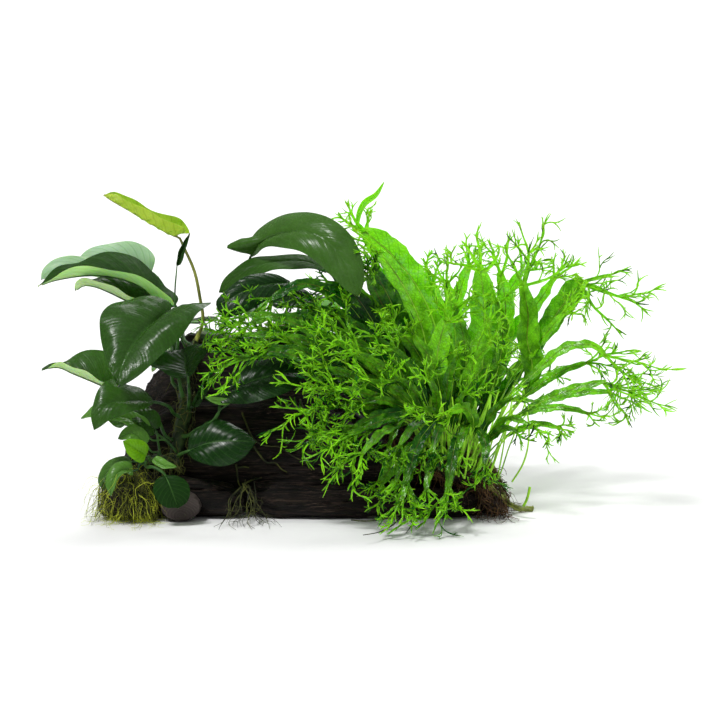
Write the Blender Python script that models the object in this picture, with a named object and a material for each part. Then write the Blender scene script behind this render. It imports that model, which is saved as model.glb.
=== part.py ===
"""Java fern and anubias on driftwood.

A dark chunk of driftwood stands on its flat underside. An anubias climbs its left half and
lies along its top, and a java fern with forked, crested fronds grows from a mat of roots on
its low right end. Every leaf and frond is one blade with its stalk.

Paths are written as (column, row, depth): the pixel of the 720 by 720 photograph where the
point shows, and its depth in millimetres, less than 0 towards the viewer. The function seen()
turns them into places in metres.
"""

import math

import bmesh
import bpy
import numpy as np
from mathutils import Vector
from mathutils.bvhtree import BVHTree

MM = 0.001

# The view that the paths are read in
PIXEL = 0.65 * MM
FRAME_CENTRE = 360
ORIGIN_COLUMN = 304
ORIGIN_ROW = 503
VIEW_DISTANCE = 2.0
VIEW_TILT = math.radians(10)
VIEW_RIGHT = np.array([1.0, 0.0, 0.0])
VIEW_AHEAD = np.array([0.0, math.cos(VIEW_TILT), -math.sin(VIEW_TILT)])
VIEW_UP = np.array([0.0, math.sin(VIEW_TILT), math.cos(VIEW_TILT)])
VIEW_CENTRE = (VIEW_RIGHT * (FRAME_CENTRE - ORIGIN_COLUMN) + VIEW_UP * (ORIGIN_ROW - FRAME_CENTRE)) * PIXEL
VIEWPOINT = VIEW_CENTRE - VIEW_AHEAD * VIEW_DISTANCE

# Clearances between pieces that touch, the step that a curve's direction is read over, and the
# number of steps that its length is measured in
CLEARANCE = 0.5 * MM
FOOT_CLEARANCE = 0.6 * MM
TANGENT_STEP = 0.01
CURVE_STEPS = 30
LENGTH_STEPS = 60

# The angle over which an edge shows as sharp
SOLID_EDGE = math.radians(35)
BLADE_EDGE = math.radians(50)

# Driftwood trunk: x, then the outline in that plane as (y, z), from the foot of the front
# face over the top to the foot of the back, all in millimetres
TRUNK_SECTIONS = (
    (-115, ((-24, 0), (-28, 10), (-27, 20), (-22, 28), (-14, 33), (-4, 36),
            (8, 38), (20, 38), (32, 36), (42, 26), (46, 12), (42, 0))),
    (-102, ((-28, 0), (-32, 14), (-31, 30), (-26, 46), (-18, 56), (-6, 62),
            (6, 70), (18, 74), (34, 72), (47, 52), (52, 24), (48, 0))),
    (-78, ((-28, 0), (-33, 15), (-31, 34), (-27, 54), (-19, 68), (-4, 76),
           (6, 98), (16, 108), (32, 109), (48, 82), (55, 32), (50, 0))),
    (-45, ((-28, 0), (-33, 14), (-32, 33), (-28, 53), (-20, 67), (-4, 75),
           (6, 92), (16, 98), (32, 99), (48, 78), (55, 30), (50, 0))),
    (-12, ((-28, 0), (-33, 14), (-31, 32), (-27, 52), (-18, 66), (-4, 73),
           (4, 96), (14, 108), (30, 110), (47, 84), (55, 32), (50, 0))),
    (18, ((-28, 0), (-33, 14), (-31, 31), (-27, 50), (-19, 64), (-6, 70),
          (4, 90), (14, 100), (30, 101), (46, 74), (54, 30), (49, 0))),
    (34, ((-28, 0), (-33, 13), (-31, 28), (-26, 42), (-18, 52), (-6, 58),
          (6, 64), (16, 68), (30, 67), (44, 52), (52, 26), (47, 0))),
    (62, ((-27, 0), (-31, 11), (-30, 22), (-25, 32), (-16, 38), (-6, 42),
          (6, 44), (16, 45), (28, 43), (40, 34), (47, 18), (43, 0))),
    (92, ((-24, 0), (-28, 8), (-27, 15), (-22, 21), (-14, 24), (-4, 26),
          (6, 27), (16, 26), (26, 24), (35, 18), (40, 9), (37, 0))),
    (114, ((-18, 0), (-21, 4), (-20, 8), (-15, 11), (-8, 13), (0, 14),
           (8, 14), (15, 13), (22, 11), (28, 8), (30, 4), (28, 0))),
)
TRUNK_STATIONS = 18
TRUNK_RIDGE = 2.4
# How much of its height a ridge keeps where it fades, and how it changes along the wood and
# from one ridge to the next
RIDGE_LEAST = 0.6
RIDGE_RUN = 0.055
RIDGE_TURN = 1.3
LIMB_SIDES = 12
LIMB_GROOVE = 1.2
ROOT_SIDES = 9
ROOT_GROOVE = 0.8
GROOVE_RUN = 0.11
GROOVE_TURN = 3.7

# Limbs and root masses: sections along x as (x, y, z, half depth, half height), millimetres
LEFT_LIMB = ((-121, -40, 13, 8, 10), (-112, -41, 14, 12, 14), (-90, -40, 14, 10.5, 13.5),
             (-77, -39.5, 13.5, 10, 13), (-60, -40, 12.5, 10.5, 12), (-45, -40.5, 11, 9, 10),
             (-38, -40.5, 9, 6, 7))
RIGHT_LIMB = ((-30, -39, 12, 8, 9), (-22, -40, 11, 10.5, 11), (0, -40.5, 10.5, 11, 10.5),
              (30, -41, 10, 11.3, 10), (60, -41, 9.5, 11.3, 9.5), (90, -40, 9, 11, 9),
              (108, -38, 8, 10, 8), (114, -36, 7, 7, 6))
STUB_CENTRE = (-77, 10)
STUB_HALF_WIDTH = 13
STUB_HALF_HEIGHT = 9.4
STUB_BACK = -46
STUB_CUT = -57
STUB_LOWEST = 0.4
STUB_SIDES = 16
STUB_RINGS = ((STUB_BACK, 1.06), (STUB_CUT + 3, 1.0), (STUB_CUT, 0.96))
ROOT_MAT = ((56, -2, 50, 20, 8), (62, -2, 44, 34, 15.5), (78, -3, 36, 42, 17), (98, -3, 28, 43, 16),
            (115, -3, 17.5, 38, 13), (123, -3, 15, 28, 8.5))
ROOT_BEARD = ((108, -20, 18, 28, 12), (115, -24, 18.5, 34, 17), (122, -26, 14, 34, 13.3),
              (128, -27, 9, 24, 8.4), (131, -27, 7, 14, 5.5))
ROOT_TUFT = ((-129, -45, 12, 9, 8), (-122, -46, 18, 18, 17), (-110, -48, 19, 20, 18.4),
             (-99, -50, 15, 15, 14.4), (-93, -52, 9, 7, 7.5))
ROOT_FAN = ((-50, -62, 4, 13, 3.2), (-42, -58, 6.5, 21, 6), (-34, -54, 9, 24, 8.4),
            (-24, -58, 6, 20, 5.4), (-15, -62, 3.6, 12, 2.8))

# Rhizomes: path and radius in millimetres at each of its points
RHIZOMES = {
    "anubias_rhizome": dict(
        path=((173, 463, -41), (177, 448, -37.5), (181, 428, -32), (186, 405, -24),
              (184, 383, -11), (188, 360, -3), (196, 342, 5)),
        radii=(4.2, 4.8, 4.8, 4.5, 4.3, 4.2, 3.2)),
    "anubias_side_shoot": dict(
        path=((172, 462, -43), (160, 459, -51), (150, 460, -56), (141, 462, -58)),
        radii=(3.0, 3.4, 3.2, 2.2)),
    "anubias_top_rhizome": dict(
        path=((196, 336, 11), (215, 338, 12), (238, 343, 12), (262, 339, 12), (285, 331, 12),
              (303, 331, 12)),
        radii=(3.4, 4.0, 4.2, 4.2, 4.2, 2.8)),
    "fern_rhizome": dict(
        path=((390, 407, 0), (420, 418, 0), (455, 434, 0), (482, 455, -6), (499, 482, -22),
              (508, 502, -38), (520, 508, -46), (533, 511, -48)),
        radii=(3.0, 4.0, 4.0, 3.8, 3.2, 2.4, 2.0, 1.5)),
    "fern_rhizome_front": dict(
        path=((402, 420, -24), (430, 430, -28), (460, 443, -29), (482, 461, -27)),
        radii=(2.8, 3.6, 3.6, 2.8)),
    "fern_rhizome_back": dict(
        path=((402, 406, 24), (432, 416, 27), (466, 431, 26)),
        radii=(2.8, 3.6, 2.8)),
}
RHIZOME_FACE = (0.0, -1.0, 0.2)
RHIZOME_SIDES = 6
SCAR_SPACING = 15 * MM
SCAR_DEPTH = 0.12

# Leaves: foot, stalk and blade midrib as paths, width in millimetres, the way the upper side
# looks at the base and at the tip, the upward fold of each half in degrees, how far the lobes
# reach behind the base as a share of the blade's length, how full the base is, and how
# pointed the tip is
ANUBIAS_LEAVES = {
    "anubias_leaf_new_rolled": dict(
        on="anubias_rhizome", stalk=((197, 337, 0), (203, 320, -3), (200, 298, -6), (194, 270, -8),
                                     (185, 250, -9)),
        blade=((177, 237, -10), (150, 222, -10), (125, 206, -9), (103, 196, -8)),
        width=20, face=(0.1, -0.1, 1), fold=64, lobe=0.16),
    "anubias_leaf_new_spear": dict(
        on="anubias_rhizome", stalk=((187, 352, -7), (181, 338, -19), (176, 320, -26), (175, 290, -27)),
        blade=((177, 266, -25), (181, 250, -23), (190, 233, -22)),
        width=6, face=(0.4, -0.9, 0.2), fold=50),
    "anubias_leaf_left_rear": dict(
        on="anubias_rhizome", stalk=((191, 345, 6), (181, 318, 26), (166, 290, 36)),
        blade=((153, 273, 38), (130, 262, 38), (102, 258, 37), (74, 264, 36)),
        width=32, face=(0, 0.5, 0.85), fold=-6, lobe=0.1, fullness=0.2),
    "anubias_leaf_left_pale": dict(
        on="anubias_rhizome", stalk=((183, 362, -1), (175, 335, 13), (168, 316, 19)),
        blade=((160, 300, 20), (108, 275, 20), (66, 268, 20), (41, 280, 19)),
        width=28, face=(0, 0.4, 0.9), fold=-8, lobe=0.06, point=0.6),
    "anubias_leaf_left_arched": dict(
        on="anubias_rhizome", stalk=((181, 374, -9), (178, 345, -6), (177, 322, -5)),
        blade=((175, 303, -5), (152, 283, -6), (130, 273, -6), (95, 267, -6), (60, 273, -6), (37, 286, -6)),
        width=33, face=(0, -0.05, 1), fold=26, lobe=0.06),
    "anubias_leaf_left_under": dict(
        on="anubias_rhizome", stalk=((180, 388, -16), (173, 358, -11), (170, 334, -8)),
        blade=((165, 310, -7), (140, 296, -7), (112, 285, -7), (88, 282, -8), (75, 291, -9)),
        width=24, face=(0, -0.3, 0.95), fold=20, lobe=0.06),
    "anubias_leaf_front_heart": dict(
        on="anubias_rhizome", stalk=((183, 398, -24), (178, 374, -19), (173, 345, -28)),
        blade=((168, 316, -38), (153, 324, -52), (131, 351, -70), (118, 386, -82)),
        width=68, face=(-0.3, -0.75, 0.6), fold=10, lobe=0.12, fullness=0.25),
    "anubias_leaf_left_low": dict(
        on="anubias_rhizome", stalk=((173, 440, -37), (158, 420, -37), (142, 402, -35)),
        blade=((126, 391, -34), (106, 381, -33), (82, 370, -32), (62, 364, -32), (42, 369, -32)),
        width=32, face=(0, -0.2, 0.97), fold=32, lobe=0.08),
    "anubias_leaf_left_front": dict(
        on="anubias_rhizome", stalk=((179, 416, -33), (168, 406, -44)),
        blade=((153, 402, -50), (130, 399, -60), (108, 405, -68), (94, 430, -71)),
        width=38, face=(-0.2, -0.6, 0.75), fold=8, lobe=0.1, fullness=0.15),
    "anubias_leaf_shoot_dark": dict(
        on="anubias_side_shoot", stalk=((160, 454, -50), (158, 442, -47)),
        blade=((155, 430, -46), (142, 418, -47), (128, 415, -48)),
        width=18, face=(-0.2, -0.5, 0.8), fold=12, lobe=0.05),
    "anubias_leaf_shoot_yellow": dict(
        on="anubias_side_shoot", stalk=((150, 457, -60), (149, 457, -64)),
        blade=((146, 456, -66), (135, 449, -70), (123, 441, -72)),
        width=14, face=(0, -0.85, 0.5), fold=12, point=0.6),
    "anubias_leaf_round": dict(
        on="anubias_side_shoot", stalk=((146, 464, -61), (153, 467, -66)),
        blade=((163, 475, -69), (171, 490, -72), (178, 508, -73)),
        width=24, face=(0.1, -1, 0.1), fold=6, point=0.5),
    "anubias_leaf_front_low": dict(
        on="anubias_rhizome", stalk=((178, 456, -44), (185, 453, -50)),
        blade=((191, 450, -53), (213, 443, -56), (236, 441, -58), (257, 442, -56)),
        width=33, face=(0, -0.9, 0.4), fold=8, lobe=0.06, fullness=0.15),
    "anubias_leaf_knee": dict(
        on="anubias_rhizome", stalk=((184, 436, -38), (200, 424, -44), (214, 412, -46)),
        blade=((220, 401, -44), (245, 388, -41), (276, 377, -37), (306, 371, -33)),
        width=38, face=(0.1, -0.6, 0.8), fold=10, lobe=0.16),
    "anubias_leaf_middle_folded": dict(
        on="anubias_rhizome", stalk=((188, 410, -30), (190, 396, -40)),
        blade=((188, 377, -47), (186, 369, -41), (184, 361, -35), (183, 352, -31)),
        width=42, face=(0, -0.4, 0.9), fold=26, lobe=0.1, fullness=0.25),
    "anubias_leaf_top_arched": dict(
        on="anubias_top_rhizome", stalk=((262, 334, 13), (257, 310, 20), (252, 280, 23)),
        blade=((249, 254, 16), (268, 245, 8), (298, 236, -4), (328, 245, -16), (350, 267, -25),
               (359, 296, -30)),
        width=42, face=(0, -0.5, 0.85), tip_face=(0.6, -0.75, 0.35), fold=12, lobe=0.12, fullness=0.1),
    "anubias_leaf_top_left": dict(
        on="anubias_top_rhizome", stalk=((299, 326, 15), (321, 313, 29), (336, 298, 30), (337, 284, 21)),
        blade=((325, 272, 11), (300, 262, 9), (262, 265, 7), (235, 277, 7), (219, 291, 6)),
        width=17, face=(0, -0.6, 0.8), fold=6, point=0.55),
    "anubias_leaf_top_dark": dict(
        on="anubias_top_rhizome", stalk=((272, 332, 9), (285, 314, 3), (291, 296, -3)),
        blade=((288, 284, -8), (262, 283, -15), (239, 292, -21), (220, 311, -25)),
        width=31, face=(-0.3, -0.75, 0.55), fold=8, lobe=0.1),
    "anubias_leaf_top_small": dict(
        on="anubias_top_rhizome", stalk=((288, 326, 12), (303, 318, 13), (314, 313, 14)),
        blade=((316, 305, 13), (297, 296, 11), (270, 303, 9)),
        width=20, face=(0, -0.5, 0.85), fold=8, lobe=0.05),
    "anubias_leaf_rear_left": dict(
        on="anubias_top_rhizome", stalk=((206, 332, 14), (206, 326, 28)),
        blade=((200, 322, 42), (184, 323, 60), (168, 333, 76), (154, 354, 88)),
        width=34, face=(-0.3, 0.5, 0.8), fold=8, lobe=0.12),
    "anubias_leaf_rear_right": dict(
        on="anubias_top_rhizome", stalk=((288, 331, 21), (296, 318, 34)),
        blade=((301, 304, 46), (311, 300, 62), (318, 312, 82), (323, 334, 96)),
        width=36, face=(0.2, 0.55, 0.8), fold=8, lobe=0.12),
}
YOUNG_LEAVES = ("anubias_leaf_new_rolled", "anubias_leaf_shoot_yellow")
LEAF_THICKNESS = 3.0 * MM
BLADE_SHARE = 0.36
LEAF_STALK_HALF = 1.4 * MM
LEAF_TIP_HALF = 0.45 * MM
STALK_START = 2.5 * MM
STALK_ROWS = 4
BLADE_STEPS = (0, 0.14, 0.36, 0.62, 0.86, 1)
LOBE_END = 0.34
LOBE_CURVE = 1.5
STALK_END = 0.94
OUTLINE_STEPS = 50
WIDE_LEAF = 33
STALK_ROW = (-1, 1)
NARROW_ROW = (-1, 0, 1)
WIDE_ROW = (-1, -0.5, 0, 0.5, 1)

# Fronds: foot and midrib as a path, width in millimetres, the way the upper side looks, and
# the tips that the crest forks to
FERN_FRONDS = {
    "fern_frond_tall_left": dict(
        on="fern_rhizome", path=((427, 413, 2), (435, 380, 8), (434, 312, 10), (404, 268, 8), (362, 232, 5)),
        width=17, face=(-0.3, -0.85, 0.4),
        tips=((384, 182, 0), (371, 207, 12), (345, 200, 8), (340, 216, 2))),
    "fern_frond_tall_rear": dict(
        on="fern_rhizome_back", path=((436, 411, 25), (446, 380, 23), (444, 330, 21), (430, 284, 20)),
        width=12, face=(-0.2, -0.9, 0.2), tips=((441, 260, 18), (432, 250, 24), (423, 258, 16))),
    "fern_frond_upper_left": dict(
        on="fern_rhizome", path=((415, 409, -2), (428, 380, -5), (424, 335, -5), (400, 280, -7),
                                 (378, 250, -9)),
        width=13, face=(-0.3, -0.85, 0.4), tips=((360, 246, -15), (352, 228, -14), (348, 238, -6))),
    "fern_frond_arch_left_high": dict(
        on="fern_rhizome_front", path=((404, 414, -24), (394, 388, -22), (376, 345, -19), (345, 302, -19),
                                       (303, 284, -25), (268, 301, -32)),
        width=11, face=(-0.1, -0.8, 0.5),
        tips=((246, 300, -38), (246, 317, -30), (256, 331, -38), (268, 325, -33))),
    "fern_frond_arch_left_short": dict(
        on="fern_rhizome_front", path=((408, 418, -27), (396, 398, -29), (380, 378, -28), (355, 342, -27),
                                       (325, 313, -28), (297, 312, -30)),
        width=12, face=(-0.1, -0.8, 0.5), tips=((270, 318, -32), (277, 331, -33), (291, 329, -31))),
    "fern_frond_arch_left_long": dict(
        on="fern_rhizome_front", path=((413, 420, -30), (397, 409, -41), (370, 396, -43), (335, 352, -40),
                                       (300, 326, -41), (262, 315, -45), (243, 316, -47)),
        width=13, face=(-0.1, -0.75, 0.6),
        tips=((236, 300, -40), (206, 321, -38), (212, 338, -40), (222, 345, -50))),
    "fern_frond_arch_left_low": dict(
        on="fern_rhizome_front", path=((419, 423, -32), (400, 414, -42), (362, 403, -46), (320, 372, -50),
                                       (283, 353, -53), (250, 358, -57)),
        width=11, face=(-0.1, -0.7, 0.65),
        tips=((240, 345, -52), (210, 352, -56), (203, 377, -62), (232, 384, -60))),
    "fern_frond_front_left": dict(
        on="fern_rhizome_front", path=((426, 427, -33), (408, 416, -46), (378, 413, -55), (345, 405, -61),
                                       (325, 408, -64)),
        width=10, face=(-0.1, -0.7, 0.65),
        tips=((275, 405, -66), (265, 438, -72), (298, 446, -74), (318, 444, -66))),
    "fern_frond_drooping_left": dict(
        on="fern_rhizome_front", path=((433, 430, -35), (420, 418, -50), (385, 420, -68), (352, 434, -78)),
        width=10, face=(-0.1, -0.6, 0.75),
        tips=((290, 452, -78), (305, 460, -86), (335, 482, -80), (350, 497, -86))),
    "fern_frond_drooping_front": dict(
        on="fern_rhizome_front", path=((441, 433, -36), (443, 416, -52), (420, 440, -78), (405, 484, -92)),
        width=8, face=(0, -0.9, 0.4),
        tips=((378, 505, -84), (392, 520, -98), (410, 530, -111), (424, 518, -96))),
    "fern_frond_drooping_middle": dict(
        on="fern_rhizome_front", path=((450, 437, -36), (459, 424, -50), (453, 455, -74), (447, 490, -86)),
        width=8, face=(0, -0.9, 0.4), tips=((434, 528, -107), (447, 520, -100), (458, 511, -92))),
    "fern_frond_folded_front": dict(
        on="fern_rhizome_front", path=((464, 442, -34), (473, 428, -46), (472, 416, -54), (462, 408, -60),
                                       (450, 412, -64)),
        width=11, face=(0, -0.8, 0.5), tips=((438, 416, -68), (441, 424, -66))),
    "fern_frond_middle": dict(
        on="fern_rhizome", path=((438, 418, -3), (436, 390, -11), (438, 350, -15), (446, 318, -15)),
        width=13, face=(0, -0.95, 0.2),
        tips=((450, 292, -20), (462, 290, -12), (475, 304, -18), (462, 322, -24))),
    "fern_frond_upright_broad": dict(
        on="fern_rhizome", path=((458, 431, 2), (477, 400, 1), (483, 349, -1), (484, 300, -3),
                                 (480, 268, -4)),
        width=19, face=(0, -1, 0.1),
        tips=((447, 262, -8), (462, 241, 0), (477, 232, -2), (499, 248, -8))),
    "fern_frond_upright_rear": dict(
        on="fern_rhizome_back", path=((458, 423, 27), (488, 395, 20), (503, 345, 16), (505, 300, 14),
                                      (500, 272, 14)),
        width=12, face=(0, -1, 0.15), tips=((480, 240, 12), (489, 240, 20), (509, 233, 10))),
    "fern_frond_tall_right": dict(
        on="fern_rhizome", path=((480, 448, 0), (505, 420, -3), (524, 395, -7), (532, 368, -10), (527, 339, -11),
                                 (528, 315, -10), (522, 282, -9)),
        width=13, face=(0.1, -0.95, 0.15),
        tips=((504, 245, -12), (518, 222, -8), (548, 218, -2), (573, 263, -10))),
    "fern_frond_right_broad": dict(
        on="fern_rhizome", path=((470, 438, -3), (500, 405, 2), (533, 352, 7), (558, 312, 9),
                                 (583, 280, 8)),
        width=16, face=(-0.3, -0.85, 0.3),
        tips=((628, 270, 4), (648, 294, 13), (648, 312, 2), (623, 332, 10))),
    "fern_frond_right_wavy": dict(
        on="fern_rhizome_front", path=((472, 447, -32), (498, 408, -29), (536, 372, -27), (568, 347, -27),
                                       (597, 347, -29), (607, 358, -30)),
        width=9, face=(-0.2, -0.8, 0.5),
        tips=((640, 350, -24), (679, 371, -36), (662, 386, -28), (636, 385, -38))),
    "fern_frond_right_low": dict(
        on="fern_rhizome_front", path=((478, 453, -32), (500, 426, -38), (530, 408, -40), (568, 391, -42),
                                       (606, 381, -44)),
        width=9, face=(-0.2, -0.8, 0.5),
        tips=((655, 391, -38), (672, 408, -44), (650, 403, -52), (628, 422, -48))),
    "fern_frond_right_drooping": dict(
        on="fern_rhizome_front", path=((480, 460, -33), (492, 432, -44), (512, 418, -51), (531, 426, -57)),
        width=6, face=(0, -0.7, 0.7), tips=((553, 436, -62), (550, 448, -58))),
    "fern_frond_back_left": dict(
        on="fern_rhizome_back", path=((410, 403, 28), (400, 372, 42), (382, 335, 58), (362, 322, 74)),
        width=14, face=(-0.4, 0.5, 0.75), tips=((342, 326, 84), (350, 312, 90), (362, 338, 94))),
    "fern_frond_back_middle": dict(
        on="fern_rhizome_back", path=((424, 408, 31), (428, 360, 46), (434, 312, 62), (442, 292, 78)),
        width=15, face=(0, 0.8, 0.6), tips=((432, 284, 90), (448, 281, 94), (456, 300, 96))),
    "fern_frond_back_right": dict(
        on="fern_rhizome_back", path=((446, 417, 31), (466, 375, 47), (486, 330, 62), (500, 304, 72)),
        width=14, face=(0.3, 0.7, 0.6), tips=((516, 294, 80), (506, 280, 86), (494, 290, 90))),
    "fern_frond_back_far_right": dict(
        on="fern_rhizome_back", path=((466, 428, 29), (495, 398, 42), (525, 378, 56), (546, 376, 66)),
        width=12, face=(0.4, 0.5, 0.75), tips=((565, 370, 70), (570, 380, 64), (558, 366, 78))),
    "fern_frond_back_drooping": dict(
        on="fern_rhizome_back", path=((404, 401, 25), (392, 384, 40), (374, 378, 62), (362, 392, 82)),
        width=13, face=(-0.4, 0.5, 0.75), tips=((350, 404, 92), (360, 416, 97), (372, 410, 99))),
}
FROND_THICKNESS = 2.0 * MM
FROND_BLADE_SHARE = 0.4
FROND_STALK_HALF = 1.1 * MM
FROND_WING_START = 0.15
FROND_STEPS = (0.16, 0.33, 0.5, 0.68, 0.85, 1)
# Where along a frond its blade starts, is full and begins to narrow, and how
BLADE_START = 0.08
BLADE_FULL = 0.5
BLADE_SHOULDER = 0.62
BLADE_NARROWING = 0.72
BLADE_RISE = 1.3
BLADE_FALL = 1.5
FROND_WAVE = 0.9 * MM
CREST_WIDTHS = (2.6 * MM, 1.9 * MM, 1.4 * MM)
CREST_TIP_WIDTH = 0.8 * MM
FORK_SHARE = 0.34

# Surfaces: colour, roughness
FINISHES = {
    "wet_dark_wood": ((0.030, 0.019, 0.014), 0.5),
    "sawn_wood": ((0.19, 0.12, 0.08), 0.6),
    "anubias_leaf": ((0.030, 0.13, 0.022), 0.3),
    "young_leaf": ((0.33, 0.48, 0.05), 0.4),
    "rhizome": ((0.11, 0.17, 0.035), 0.5),
    "roots": ((0.16, 0.10, 0.04), 0.8),
    "fern_frond": ((0.15, 0.42, 0.025), 0.35),
}


def clear_scene():
    """Start from an empty scene."""
    for leftover in list(bpy.data.objects):
        bpy.data.objects.remove(leftover)


def make_finish(name, colour, roughness):
    """One material with the surface's colour and roughness."""
    finish = bpy.data.materials.new(name)
    finish.use_nodes = True
    shader = finish.node_tree.nodes["Principled BSDF"]
    shader.inputs["Base Color"].default_value = (*colour, 1)
    shader.inputs["Roughness"].default_value = roughness
    shader.inputs["Metallic"].default_value = 0


def seen(column, row, depth):
    """The place that shows at a pixel of the photograph and lies at a depth in millimetres."""
    sight = (VIEW_AHEAD * VIEW_DISTANCE + VIEW_RIGHT * (column - FRAME_CENTRE) * PIXEL
             + VIEW_UP * (FRAME_CENTRE - row) * PIXEL)
    return VIEWPOINT + sight * (depth * MM - VIEWPOINT[1]) / sight[1]


def unit(vectors):
    """The same directions with length 1."""
    return vectors / np.linalg.norm(vectors, axis=-1, keepdims=True)


def smooth_curve(points, fractions):
    """Places at the given fractions of the length of a smooth curve through the points."""
    points = np.array(points, dtype=float)
    knots = np.concatenate([[0], np.cumsum(np.linalg.norm(np.diff(points, axis=0), axis=1))])
    slopes = np.gradient(points, knots, axis=0)
    fine = np.linspace(0, knots[-1], CURVE_STEPS * len(points))
    span = np.clip(np.searchsorted(knots, fine, side="right") - 1, 0, len(points) - 2)
    length = (knots[span + 1] - knots[span])[:, None]
    t = (fine - knots[span])[:, None] / length
    dense = ((2 * t**3 - 3 * t**2 + 1) * points[span] + (t**3 - 2 * t**2 + t) * length * slopes[span]
             + (3 * t**2 - 2 * t**3) * points[span + 1] + (t**3 - t**2) * length * slopes[span + 1])
    run = np.concatenate([[0], np.cumsum(np.linalg.norm(np.diff(dense, axis=0), axis=1))])
    wanted = np.array(fractions) * run[-1]
    return np.column_stack([np.interp(wanted, run, dense[:, axis]) for axis in range(dense.shape[1])])


def curve_length(points):
    """The length of the smooth curve through the points."""
    places = smooth_curve(points, np.linspace(0, 1, LENGTH_STEPS))
    return np.linalg.norm(np.diff(places, axis=0), axis=1).sum()


def strip(points, fractions, face):
    """Places on a smooth curve, and there the unit vectors along it, across it and out of it.

    The strip's upper side looks towards face, which is one direction or one for each place.
    """
    fractions = np.array(fractions)
    near = smooth_curve(points, np.maximum(fractions - TANGENT_STEP, 0))
    far = smooth_curve(points, np.minimum(fractions + TANGENT_STEP, 1))
    along = unit(far - near)
    across = unit(np.cross(along, face))
    return smooth_curve(points, fractions), along, across, np.cross(across, along)


def add_object(name, points, faces, finish):
    """A named object from points and faces."""
    mesh = bpy.data.meshes.new(name)
    mesh.from_pydata([tuple(point) for point in points], [], faces)
    mesh.materials.append(bpy.data.materials[finish])
    piece = bpy.data.objects.new(name, mesh)
    bpy.context.scene.collection.objects.link(piece)
    return piece


def add_loft(name, rings, finish):
    """A closed solid through rings of points, with a flat cap at each end."""
    count = len(rings[0])
    faces = [tuple(range(count))]
    for ring in range(len(rings) - 1):
        start = ring * count
        for corner in range(count):
            ahead = (corner + 1) % count
            faces.append((start + corner, start + count + corner, start + count + ahead, start + ahead))
    faces.append(tuple(reversed(range((len(rings) - 1) * count, len(rings) * count))))
    piece = add_object(name, np.concatenate(rings), faces, finish)
    solid = bmesh.new()
    solid.from_mesh(piece.data)
    bmesh.ops.recalc_face_normals(solid, faces=solid.faces)
    bmesh.ops.triangulate(solid, faces=solid.faces)
    solid.to_mesh(piece.data)
    solid.free()
    piece.data.shade_smooth()
    piece.data.set_sharp_from_angle(angle=SOLID_EDGE)
    return piece


def clearance_around(piece):
    """A hidden guide, the piece swollen by the clearance, to cut its neighbours with."""
    guide = bpy.data.objects.new(piece.name + "_clearance", piece.data)
    bpy.context.scene.collection.objects.link(guide)
    swell = guide.modifiers.new("swell", "DISPLACE")
    swell.strength = CLEARANCE
    swell.mid_level = 0
    guide.hide_render = True
    guide.display_type = "WIRE"
    return guide


def cut_clear(piece, guides):
    """Cut the piece so that it lies against its neighbours with the clearance between."""
    for guide in guides:
        cut = piece.modifiers.new("clear_of_" + guide.name, "BOOLEAN")
        cut.operation = "DIFFERENCE"
        cut.object = guide


def make_trunk():
    """The high block of wood: a loft through its sections, with ridges along the grain."""
    places = np.array([x for x, outline in TRUNK_SECTIONS], dtype=float)
    outlines = np.array([outline for x, outline in TRUNK_SECTIONS], dtype=float)
    rings = []
    for x in np.linspace(places[0], places[-1], TRUNK_STATIONS):
        outline = np.column_stack([np.interp(x, places, outlines[:, corner, axis])
                                   for corner in range(outlines.shape[1])
                                   for axis in range(2)]).reshape(-1, 2)
        count = 2 * len(outline) - 1
        steps = np.arange(count)
        ring = np.column_stack([np.interp(steps / 2, np.arange(len(outline)), outline[:, axis])
                                for axis in range(2)])
        fade = RIDGE_LEAST + (1 - RIDGE_LEAST) * np.sin(RIDGE_RUN * x + RIDGE_TURN * steps)
        swell = TRUNK_RIDGE * (-1.0) ** steps * fade
        swell[[0, -1]] = 0
        ring = ring + unit(ring - outline.mean(axis=0)) * swell[:, None]
        rings.append(np.array([(x, y, max(z, 0)) for y, z in ring]) * MM)
    return add_loft("driftwood_trunk", rings, "wet_dark_wood")


def make_bale(name, sections, sides, groove, finish):
    """A rounded solid through oval sections, grooved along its length and flat on the floor."""
    sections = np.array(sections, dtype=float)
    angles = np.linspace(0, 2 * math.pi, sides, endpoint=False)
    lowest = (sections[:, 2] - sections[:, 4]).min()
    rings = []
    for x, y, z, half_depth, half_height in smooth_curve(sections, np.linspace(0, 1, len(sections) + 2)):
        swell = 1 + groove * np.sin(GROOVE_TURN * np.arange(sides) + GROOVE_RUN * x) / half_height
        ring = np.column_stack([np.full(sides, x), y + half_depth * swell * np.cos(angles),
                                z + half_height * swell * np.sin(angles)])
        ring[:, 2] = np.maximum(ring[:, 2], max(lowest, 0))
        rings.append(ring * MM)
    return add_loft(name, rings, finish)


def make_stub():
    """The sawn branch: a short oval log that faces the viewer with its flat cut."""
    angles = np.linspace(0, 2 * math.pi, STUB_SIDES, endpoint=False)
    rings = []
    for y, share in STUB_RINGS:
        ring = np.column_stack([STUB_CENTRE[0] + STUB_HALF_WIDTH * share * np.cos(angles),
                                np.full(len(angles), y),
                                STUB_CENTRE[1] + STUB_HALF_HEIGHT * share * np.sin(angles)])
        ring[:, 2] = np.maximum(ring[:, 2], STUB_LOWEST)
        rings.append(ring * MM)
    return add_loft("driftwood_sawn_stub", rings, "sawn_wood")


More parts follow.
